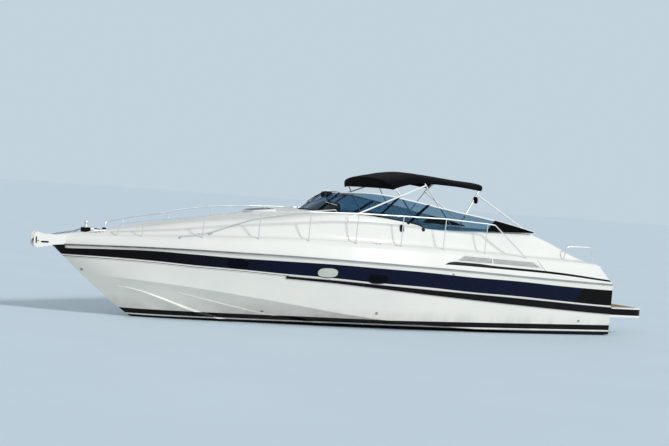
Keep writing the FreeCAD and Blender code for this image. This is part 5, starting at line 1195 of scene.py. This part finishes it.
@dataclass
class Bimini:
    """The canopy as one sheet, its binding, seams and foot pins, and the pouch on its aft leg."""

    length_shares: tuple[float, ...] = (0, 0.1, 0.33, 0.68, 1)
    hem: tuple[float, ...] = (2.07, 2.13, 2.2, 2.19, 2.15)
    crest: tuple[float, ...] = (2.24, 2.31, 2.365, 2.325, 2.28)
    front: tuple[float, float] = (-0.118, -0.096)
    aft: tuple[float, float] = (-0.475, -0.497)
    section: Line = ((1, 0), (0.99, 0.3), (0.88, 0.66), (0.62, 0.86), (0.3, 0.97), (0, 1))
    half_length: float = 6.1
    freeboard: float = 1.4
    half_width: float = 1.1
    cloth: float = 0.0028
    hollow: float = 0.010
    pocket: float = 0.0065
    pocket_half_width: float = 0.018
    flap_shares: tuple[float, ...] = (1.0, 0.8, 0.6, 0.4, 0.22, 0.08)
    binding_radius: float = 0.0055
    seam_radius: float = 0.0022
    along: int = 84
    across: int = 64

    def build(self) -> None:
        """Make the sheet with its binding and seams, the foot pins and the pouch."""
        rows = self.sheet_rows(Carrier("canopy"))
        under = [[p - self.outward(rows, i, j) * self.cloth for j, p in enumerate(row)]
                 for i, row in enumerate(rows)]
        form = Form().grid(rows).grid(under)
        for top, low in zip(rim_lines(rows), rim_lines(under)):
            form.grid([top, low])
        canopy = form.piece("canopy_sheet", CANVAS, sharp=60, weld=True)
        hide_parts("canopy")
        hem, seams = Form(), Form()
        for edge in rim_lines(rows):
            hem.tube([p - UP * 0.001 for p in edge], self.binding_radius, 6)
        for j in (self.across // 4, self.across * 3 // 4):
            seams.tube([row[j] + UP * 0.0005 for row in rows], self.seam_radius, 5)
        hems = hem.piece("canopy_binding", WEBBING)
        seam = seams.piece("canopy_seams", WEBBING)
        self.fittings()
        self.pouch()

    def outward(self, rows: list[list[Vector]], i: int, j: int) -> Vector:
        """Give the sheet's outward normal at a grid point."""
        a = rows[min(i + 1, len(rows) - 1)][j] - rows[max(i - 1, 0)][j]
        b = rows[i][min(j + 1, self.across)] - rows[i][max(j - 1, 0)]
        normal = a.cross(b).normalized()
        centre = Vector((rows[i][j].x, 0, rows[i][0].z - 0.4))
        return normal if normal.dot(rows[i][j] - centre) > 0 else -normal

    def sheet_rows(self, surface: Carrier) -> list[list[Vector]]:
        """Give the sheet's points, row by row from the front edge aft, each from starboard to port."""
        rows = []
        for i in range(self.along + 1):
            share = i / self.along
            hem, crest = [self.freeboard * smooth(self.length_shares, heights, share)
                          for heights in (self.hem, self.crest)]
            row = []
            for j in range(self.across + 1):
                turn = 2 * j / self.across - 1
                side, up = self.on_section(abs(turn))
                front, aft = [self.half_length * (low + (high - low) * up)
                              for low, high in (self.front, self.aft)]
                spot = Vector((front + (aft - front) * share, math.copysign(side, turn) * self.half_width,
                               hem + (crest - hem) * up))
                near, normal, _, gap = surface.tree.find_nearest(spot)
                outside = normal if normal.dot(spot - Vector((spot.x, 0, hem - 0.4))) > 0 else -normal
                row.append(near + outside * 0.0003 if gap < 0.08 else spot)
            rows.append(row)
        return self.relaxed(rows)

    def on_section(self, turn: float) -> tuple[float, float]:
        """Give the section's beam and height share, from crown 0 to hem 1, as its quadratic spline does."""
        poles = self.section[::-1]
        spans = len(poles) - 2
        t = min(turn * spans, spans - 1e-6)
        k = int(t)
        knots = [0, 0, 0] + list(range(1, spans)) + [spans] * 3
        values = [Vector((*poles[k + n], 0)) for n in range(3)]
        for level in (1, 2):
            for n in range(2, level - 1, -1):
                low, high = knots[k + n], knots[k + n + 3 - level]
                mix = 0 if high == low else (t - low) / (high - low)
                values[n] = values[n - 1] * (1 - mix) + values[n] * mix
        return values[2].x, values[2].y

    def relaxed(self, rows: list[list[Vector]]) -> list[list[Vector]]:
        """Let the cloth hollow a little between its bows and bulge where their pockets lie."""
        bows = Carrier("bimini_front_bow", "bimini_main_bow", "bimini_aft_bow")
        first, last = rows[0][self.across // 2].x, rows[-1][self.across // 2].x
        for row in rows:
            for j, p in enumerate(row):
                near, _, _, gap = bows.tree.find_nearest(p)
                away = (p - near).normalized()
                edge = min(1.0, max(0.0, min(first - p.x, p.x - last) / 0.3))
                inside = max(0.0, 1 - abs(2 * j / self.across - 1) ** 6)
                hollow = self.hollow * min(1.0, gap / 0.3) ** 2 * inside * edge
                bulge = self.pocket * math.exp(-(gap / self.pocket_half_width) ** 2)
                row[j] = p - UP * hollow + away * bulge
        return self.flap(rows) + rows

    def flap(self, rows: list[list[Vector]]) -> list[list[Vector]]:
        """Give the rows of the front flap, which hangs from the front bow to a level hem."""
        front = rows[0]
        hem = front[0].z
        flap = []
        for share in self.flap_shares:
            flap.append([p - UP * ((p.z - hem) * 0.92 * share) - AHEAD * (0.012 * share * share)
                         - PORT * (0.006 * share * math.sin(9 * p.y)) for p in front])
        return flap

    def fittings(self) -> None:
        """Add the pins at the struts' and bows' feet."""
        pins, deck = Form(), Carrier("deck_moulding")
        for side in Side:
            spot = deck.above(-0.358 * self.half_length, side.value * 1.24, 2.6)[0]
            pins.turned(spot + UP * 0.012 - AHEAD * 0.045, AHEAD, FOOT_PIN, 12)
        pins.piece("bimini_foot_pins", STEEL)

    def pouch(self) -> None:
        """Add the small dark pouch that is tied to the port aft leg."""
        legs = Carrier("bimini_aft_bow")
        spot = legs.tree.find_nearest(Vector((-2.66, 1.15, 2.83)))[0]
        rows = []
        for i in range(15):
            t = i / 14
            swell = 0.050 * math.sin(math.pi * min(1, t * 0.9 + 0.08)) ** 0.6 + 0.004
            centre = spot + Vector((-0.050 - 0.02 * t, 0.0, 0.075 - 0.15 * t))
            rows.append(circle(centre, AHEAD, PORT, swell * (1 + 0.06 * math.sin(9 * t)), 18))
        pouch = Form().grid(rows, around=True, caps=True).piece("bimini_pouch", CANVAS, sharp=70)


def smooth(places: tuple[float, ...], values: tuple[float, ...], at: float) -> float:
    """Interpolate values by a monotone cubic through their places."""
    count = len(places)
    slopes = [(values[i + 1] - values[i]) / (places[i + 1] - places[i]) for i in range(count - 1)]
    ends = [slopes[0]]
    for a, b in zip(slopes, slopes[1:]):
        ends.append(0.0 if a * b <= 0 else 2 * a * b / (a + b))
    ends.append(slopes[-1])
    i = max(0, min(count - 2, sum(1 for p in places[1:-1] if p <= at)))
    span = places[i + 1] - places[i]
    t = (at - places[i]) / span
    h = ((1 + 2 * t) * (1 - t) ** 2, t * (1 - t) ** 2, t * t * (3 - 2 * t), t * t * (t - 1))
    return h[0] * values[i] + h[1] * span * ends[i] + h[2] * values[i + 1] + h[3] * span * ends[i + 1]


@dataclass
class Pad:
    """One upholstered pad: a foam block in a sewn cover, blown up by a cloth simulation inside a cap."""

    name: str
    outline: list[tuple[float, float]]
    low: float
    high: float
    body: str = "root"
    corner: float = 0.05
    cap: float = 0.012
    settled_share: float = 0.75
    edge_round: float = 0.022
    voxel: float = 0.018
    channels: tuple[float, ...] = ()
    channel_axis: int = 0
    channel_depth: float = 0.012
    channel_half_width: float = 0.016
    piping_radius: float = 0.0045
    pressure: float = 4
    frames: int = 20
    upright_axis: int = 2

    def build(self) -> bpy.types.Object:
        """Make the pad, its channels and its piping.

        Returns:
            The pad's object.
        """
        block = self.block()
        pad = self.blown(block)
        self.sewn(pad)
        for face in pad.data.polygons:
            face.use_smooth = True
        pad.data.materials.clear()
        pad.data.materials.append(VINYL.material())
        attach(pad, self.body)
        self.piping(pad)
        log.info("%s: %d faces, on %s", pad.name, len(pad.data.polygons), self.body)
        return pad

    def turned(self, u: float, v: float, w: float) -> Vector:
        """Give a point from the outline's plane and the pad's thickness direction."""
        return Vector((u, v, w)) if self.upright_axis == 2 else Vector((w, u, v))

    def block(self) -> bpy.types.Object:
        """Make the foam block as an even voxel mesh, smaller than its space by the cap, its edges rounded."""
        shrink = self.cap * self.settled_share
        centre = [sum(p[i] for p in self.outline) / len(self.outline) for i in (0, 1)]
        shape = bmesh.new()
        low = []
        for u, v in self.rounded():
            inward = [p + math.copysign(min(shrink, abs(middle - p)), middle - p)
                      for p, middle in zip((u, v), centre)]
            low.append(shape.verts.new(self.turned(*inward, self.low + 0.001)))
        base = shape.faces.new(low)
        top = bmesh.ops.extrude_face_region(shape, geom=[base])
        moved = [v for v in top["geom"] if isinstance(v, bmesh.types.BMVert)]
        depth = self.high - self.low - shrink - 0.001
        bmesh.ops.translate(shape, verts=moved, vec=self.turned(0, 0, depth))
        bmesh.ops.recalc_face_normals(shape, faces=shape.faces)
        up = self.upright_axis
        rims = [e for e in shape.edges if len(e.link_faces) == 2 and e.calc_face_angle(0) > 1.2
                and abs(e.verts[0].co[up] - e.verts[1].co[up]) < 1e-6]
        bmesh.ops.bevel(shape, geom=rims, offset=self.edge_round, segments=3, profile=0.5, affect="EDGES")
        mesh = bpy.data.meshes.new(self.name)
        shape.to_mesh(mesh)
        shape.free()
        made = bpy.data.objects.new(self.name, mesh)
        bpy.context.scene.collection.objects.link(made)
        remesh = made.modifiers.new("even", "REMESH")
        remesh.mode = "VOXEL"
        remesh.voxel_size = self.voxel
        remesh.use_smooth_shade = True
        self.apply(made)
        return made

    def rounded(self) -> list[tuple[float, float]]:
        """Give the outline with its corners rounded."""
        points, count = [], len(self.outline)
        for i, corner in enumerate(self.outline):
            p = Vector(corner)
            before, after = Vector(self.outline[i - 1]), Vector(self.outline[(i + 1) % count])
            a = p + (before - p).normalized() * self.corner
            b = p + (after - p).normalized() * self.corner
            for t in (0, 0.25, 0.5, 0.75, 1):
                q = a * (1 - t) ** 2 + p * 2 * t * (1 - t) + b * t * t
                points.append((q.x, q.y))
        return points

    def apply(self, made: bpy.types.Object) -> None:
        """Apply the object's modifiers to its mesh."""
        bpy.context.view_layer.update()
        seen = made.evaluated_get(bpy.context.evaluated_depsgraph_get())
        mesh = bpy.data.meshes.new_from_object(seen)
        old = made.data
        made.modifiers.clear()
        made.data = mesh
        bpy.data.meshes.remove(old)
        mesh.name = self.name

    def blown(self, made: bpy.types.Object) -> bpy.types.Object:
        """Blow the cover up with cloth pressure, keep each point within the cap, and subdivide once."""
        rest = [v.co.copy() for v in made.data.vertices]
        cloth = made.modifiers.new("cover", "CLOTH")
        cloth.settings.use_pressure = True
        cloth.settings.uniform_pressure_force = self.pressure
        cloth.settings.effector_weights.gravity = 0
        cloth.settings.quality = 4
        cloth.point_cache.frame_start, cloth.point_cache.frame_end = 1, self.frames
        for number in range(1, self.frames + 1):
            bpy.context.scene.frame_set(number)
        seen = made.evaluated_get(bpy.context.evaluated_depsgraph_get())
        swollen = [v.co.copy() for v in seen.data.vertices]
        made.modifiers.clear()
        bpy.context.scene.frame_set(1)
        depth = self.upright_axis
        for vertex, start, end in zip(made.data.vertices, rest, swollen):
            move = end - start
            if move.length > self.cap:
                move *= self.cap / move.length
            spot = start + move
            spot[depth] = max(spot[depth], self.low + 0.0005)
            vertex.co = spot
        smoother = made.modifiers.new("finer", "SUBSURF")
        smoother.levels = smoother.render_levels = 1
        self.apply(made)
        return made

    def sewn(self, made: bpy.types.Object) -> None:
        """Draw the cover down along its sewn channels."""
        depth = self.upright_axis
        for vertex in made.data.vertices:
            if vertex.co[depth] < (self.low + self.high) / 2:
                continue
            near = min((abs(vertex.co[self.channel_axis] - c) for c in self.channels), default=1)
            vertex.co[depth] -= self.channel_depth * math.exp(-(near / self.channel_half_width) ** 2)
        made.data.update()

    def piping(self, pad: bpy.types.Object) -> None:
        """Run a piped seam round the pad's shoulder."""
        points = [v.co.copy() for v in pad.data.vertices]
        tree = BVHTree.FromPolygons(points, [list(p.vertices) for p in pad.data.polygons])
        line = []
        rim = self.rounded()
        for (u0, v0), (u1, v1) in zip(rim, rim[1:] + rim[:1]):
            count = max(1, int(math.hypot(u1 - u0, v1 - v0) / 0.03))
            for i in range(count):
                u, v = u0 + (u1 - u0) * i / count, v0 + (v1 - v0) * i / count
                spot = self.turned(u, v, self.high)
                near = tree.find_nearest(spot)[0]
                line.append(near + (spot - near).normalized() * 0.001)
        Form().tube(line, self.piping_radius, 6, loop=True).piece(self.name + "_piping", PIPING, self.body)


@dataclass
class Cockpit:
    """Cushions, the grab bars of door and console, and the gate's latch."""

    gap: float = 0.004
    corner_length: float = 0.556
    bench_inner_y: float = 0.632

    def build(self) -> None:
        """Make the soft goods and the fittings."""
        self.bench_pads()
        self.seat_pads()
        self.sun_pads()
        self.fittings()

    def rect(self, x0: float, x1: float, y0: float, y1: float) -> list[tuple[float, float]]:
        """Give a rectangle's corners, drawn in by the gap between pads."""
        g = self.gap / 2
        return [(x0 + g, y0 + g), (x1 - g, y0 + g), (x1 - g, y1 - g), (x0 + g, y1 - g)]

    def bench_pads(self) -> None:
        """Split the bench's cushion at its sewn joints into five pads."""
        low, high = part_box("bench_cushions")
        corner_x, inner_y = low.x + self.corner_length, self.bench_inner_y
        half_x, half_y = (corner_x + high.x) / 2, (low.y + inner_y) / 2
        parts = (("corner", (low.x, corner_x, inner_y, high.y), 0.09),
                 ("side_aft", (corner_x, half_x, inner_y, high.y), 0.05),
                 ("side_fore", (half_x, high.x, inner_y, high.y), 0.05),
                 ("aft_inner", (low.x, corner_x, low.y, half_y), 0.05),
                 ("aft_outer", (low.x, corner_x, half_y, inner_y), 0.05))
        made = [Pad(f"bench_pad_{name}", self.rect(*edges), low.z, high.z, corner=corner).build()
                for name, edges, corner in parts]
        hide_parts("bench_cushions")

    def seat_pads(self) -> None:
        """Make the helm seat's squab and back."""
        low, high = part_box("helm_seat_cushion")
        thick, seat_top = 0.11, low.z + 0.12
        squab = Pad("helm_squab", self.rect(low.x + thick, high.x, low.y, high.y), low.z, seat_top,
                    corner=0.06, voxel=0.014, channels=(low.x + 0.25, low.x + 0.38))
        back = Pad("helm_back", [(low.y, low.z), (high.y, low.z), (high.y, high.z), (low.y, high.z)], low.x,
                   low.x + thick, corner=0.07, voxel=0.014, channels=(low.z + 0.26, low.z + 0.42),
                   channel_axis=2, upright_axis=0)
        made = squab.build()
        back.build()
        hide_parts("helm_seat_cushion")

    def sun_pads(self) -> None:
        """Make the sunpad's three strips, each with sewn channels, on its lid."""
        low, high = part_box("sunpad_cushion")
        third = (high.y - low.y) / 3
        channels = tuple(low.x + (high.x - low.x) * k / 6 for k in range(1, 6))
        for number, name in enumerate(("sunpad_inner", "sunpad_middle", "sunpad_outer")):
            strip = self.rect(low.x, high.x, low.y + third * number, low.y + third * (number + 1))
            Pad(name, strip, low.z, high.z, body="sunpad_lid", voxel=0.02, cap=0.014,
                            channels=channels).build()
        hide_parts("sunpad_cushion")

    def fittings(self) -> None:
        """Add the door's grab bar, the gate's latch and the console's grab bar."""
        low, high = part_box("companionway_door")
        foot = Vector((low.x - 0.001, low.y + 0.10, (low.z + high.z) / 2))
        bends = ((0.11, 0), (0.11, 0.03), (0.06, 0.042), (-0.06, 0.042), (-0.11, 0.03), (-0.11, 0))
        Form().tube(bent(foot, UP, -AHEAD, bends), 0.008).piece("door_grab_bar", STEEL, "companionway_door")
        _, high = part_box("transom_gate")
        Form().turned(Vector((high.x - 0.002, high.y - 0.07, high.z - 0.09)), AHEAD, GATE_LATCH).piece(
            "gate_latch", STEEL, "transom_gate")
        foot = Vector((-0.40, 0, 2.098))
        bends = ((-0.20, 0), (-0.20, 0.045), (-0.22, 0.055), (-0.42, 0.055), (-0.44, 0.045), (-0.44, 0))
        Form().tube(bent(foot, PORT, UP, bends), 0.008).piece("console_grab_bar", STEEL)


@dataclass
class SternGear:
    """Platform handles, the ladder locker's rim, exhausts and anodes."""

    def build(self) -> None:
        """Make the gear round the transom and under the water."""
        low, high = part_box("swim_platform")
        handles = Form()
        for y in (-0.32, 0.32):
            foot = Vector((low.x + 0.16, y, high.z - 0.002))
            bends = ((0, 0), (0, 0.04), (0.03, 0.05), (0.2, 0.05), (0.23, 0.04), (0.23, 0))
            handles.tube(bent(foot, AHEAD, UP, bends), 0.009)
        handles.piece("platform_handles", STEEL)
        rim = rounded_outline(Vector((low.x + 0.28, 0, high.z)), AHEAD, PORT, 0.36, 0.46, power=10, steps=48)
        Form().tube(rim, 0.004, 6, loop=True).piece("ladder_locker_rim", STEEL)
        self.transom()
        for side in Side:
            self.rudder_anodes(f"rudder_{side.name.lower()}", side)

    def transom(self) -> None:
        """Set the exhausts and the anodes in the transom."""
        hull = Carrier("hull")
        flanges, mouths, anodes = Form(), Form(), Form()
        for side in Side:
            spot, normal = hull.hit(Vector((-8, side.value * 0.95, 0.17)), AHEAD)
            flanges.turned(spot + AHEAD * 0.006, normal, FLANGE, 28)
            mouths.turned(spot + AHEAD * 0.004, normal, EXHAUST_MOUTH, 28)
            spot, normal = hull.hit(Vector((-8, side.value * 0.30, -0.14)), AHEAD)
            anodes.tile(spot + AHEAD * 0.002, PORT, UP, (0.20, 0.07), normal * 0.022, 0.008)
        flanges.piece("exhaust_flanges", STEEL)
        mouths.piece("exhaust_mouths", BLACK_RUBBER)
        anodes.piece("transom_anodes", ZINC)

    def rudder_anodes(self, rudder: str, side: Side) -> None:
        """Set an anode on each face of one rudder."""
        low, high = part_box(rudder)
        blade, anodes = Carrier(rudder), Form()
        for face in (1, -1):
            start = Vector((low.x + 0.17, (low.y + high.y) / 2 + face, low.z + 0.30))
            anodes.button(blade.hit(start, Vector((0, -face, 0))), 0.004, RUDDER_ANODE)
        anodes.piece(f"rudder_anodes_{side.name.lower()}", ZINC, rudder)


@dataclass
class Studio:
    """Pale floor at the water, soft lamps, and the camera at the photograph's angle."""

    place: tuple[float, float, float] = (12.559, 24.911, 2.708)
    way: tuple[float, float, float] = (-0.44912, -0.89320, -0.02182)
    up: tuple[float, float, float] = (0.01331, -0.03111, 0.99943)
    roll: float = 2.67
    focal_pixels: float = 1304.0
    frame_pixels: float = 669.0
    sensor: float = 36.0
    reach: float = 400.0
    sky_strength: float = 0.64
    sun_strength: float = 1.9
    sun_degrees: float = 9.0

    def build(self) -> None:
        """Set the stage, the lamps and the camera."""
        bpy.context.scene.view_settings.view_transform = "Standard"
        self.floor()
        self.world()
        self.lamps()
        self.camera()

    def floor(self) -> None:
        """Lay a wide pale floor at the waterline."""
        mesh = bpy.data.meshes.new("studio_floor")
        corners = [(self.reach * x, self.reach * y, 0) for x, y in ((-1, -1), (1, -1), (1, 1), (-1, 1))]
        mesh.from_pydata(corners, [], [(0, 1, 2, 3)])
        floor = bpy.data.objects.new("studio_floor", mesh)
        bpy.context.scene.collection.objects.link(floor)
        bench = Bench("pale_floor")
        drift = bench.ranged(bench.mottle(2600, 3), 0.0, 0.5)
        seen = add_node(bench.tree, "LightPath").outputs["Is Camera Ray"]
        pale = bench.over(drift, linear("d3e2ed"), linear("cddce7"))
        bench.feed("Base Color", bench.over(seen, linear("e6eaec"), pale))
        bench.feed("Roughness", 0.6)
        mesh.materials.append(bench.material)

    def world(self) -> None:
        """Light from a pale even sky."""
        world = bpy.data.worlds.new("studio_sky")
        world.use_nodes = True
        tree = world.node_tree
        backdrop = tree.nodes["Background"]
        backdrop.inputs["Color"].default_value = linear("dfe6ea")
        backdrop.inputs["Strength"].default_value = self.sky_strength
        seen = add_node(tree, "Background", {"Color": linear("c3d3de"), "Strength": 1.0})
        mirrored = add_node(tree, "Background", {"Color": linear("c3d2dd"), "Strength": 0.9})
        rays = add_node(tree, "LightPath")
        glossy = add_node(tree, "MixShader", {0: rays.outputs["Is Glossy Ray"], 1: backdrop.outputs[0],
                                              2: mirrored.outputs[0]})
        direct = add_node(tree, "Math", {0: rays.outputs["Is Camera Ray"],
                                         1: rays.outputs["Is Transmission Ray"]}, operation="MAXIMUM")
        mixed = add_node(tree, "MixShader", {0: direct.outputs[0], 1: glossy.outputs[0], 2: seen.outputs[0]})
        tree.links.new(mixed.outputs[0], tree.nodes["World Output"].inputs[0])
        bpy.context.scene.world = world

    def lamps(self) -> None:
        """Set a broad key high off the port quarter."""
        lamp = bpy.data.lights.new("key_lamp", "SUN")
        lamp.energy, lamp.angle = self.sun_strength, math.radians(self.sun_degrees)
        made = bpy.data.objects.new("key_lamp", lamp)
        made.rotation_euler = Vector((0.45, -0.85, -0.62)).to_track_quat("-Z", "Y").to_euler()
        bpy.context.scene.collection.objects.link(made)

    def camera(self) -> None:
        """Stand the camera off the port bow, heeled as the photograph's view of the boat is."""
        lens = bpy.data.cameras.new("photo_camera")
        lens.sensor_width = self.sensor
        lens.lens = self.focal_pixels * self.sensor / self.frame_pixels
        lens.clip_end = 1000
        way, up = Vector(self.way).normalized(), Vector(self.up).normalized()
        right = way.cross(up).normalized()
        up = right.cross(way)
        turn = math.radians(self.roll)
        tilted = right * math.cos(turn) + up * math.sin(turn)
        upright = up * math.cos(turn) - right * math.sin(turn)
        view = Matrix((tilted, upright, -way)).transposed().to_4x4()
        view.translation = Vector(self.place)
        camera = bpy.data.objects.new("photo_camera", lens)
        camera.matrix_world = view
        bpy.context.scene.collection.objects.link(camera)
        bpy.context.scene.camera = camera


def dress_cad() -> None:
    """Give every CAD node its finish."""
    for finish, names in CAD_FINISHES:
        for name in names.split():
            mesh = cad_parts[name].data
            mesh.materials.clear()
            mesh.materials.append(finish.material())
            log.info("%s is %s", name, finish.name)


def main() -> None:
    """Build the boat's looks in order."""
    logging.basicConfig(level=logging.INFO, format="%(name)s: %(message)s")
    dress_cad()
    for part in (Topsides, Foredeck, IntakeDrains, Screen, Helm, Bimini, Cockpit, SternGear, Studio):
        part().build()


if __name__ == "__main__":
    main()
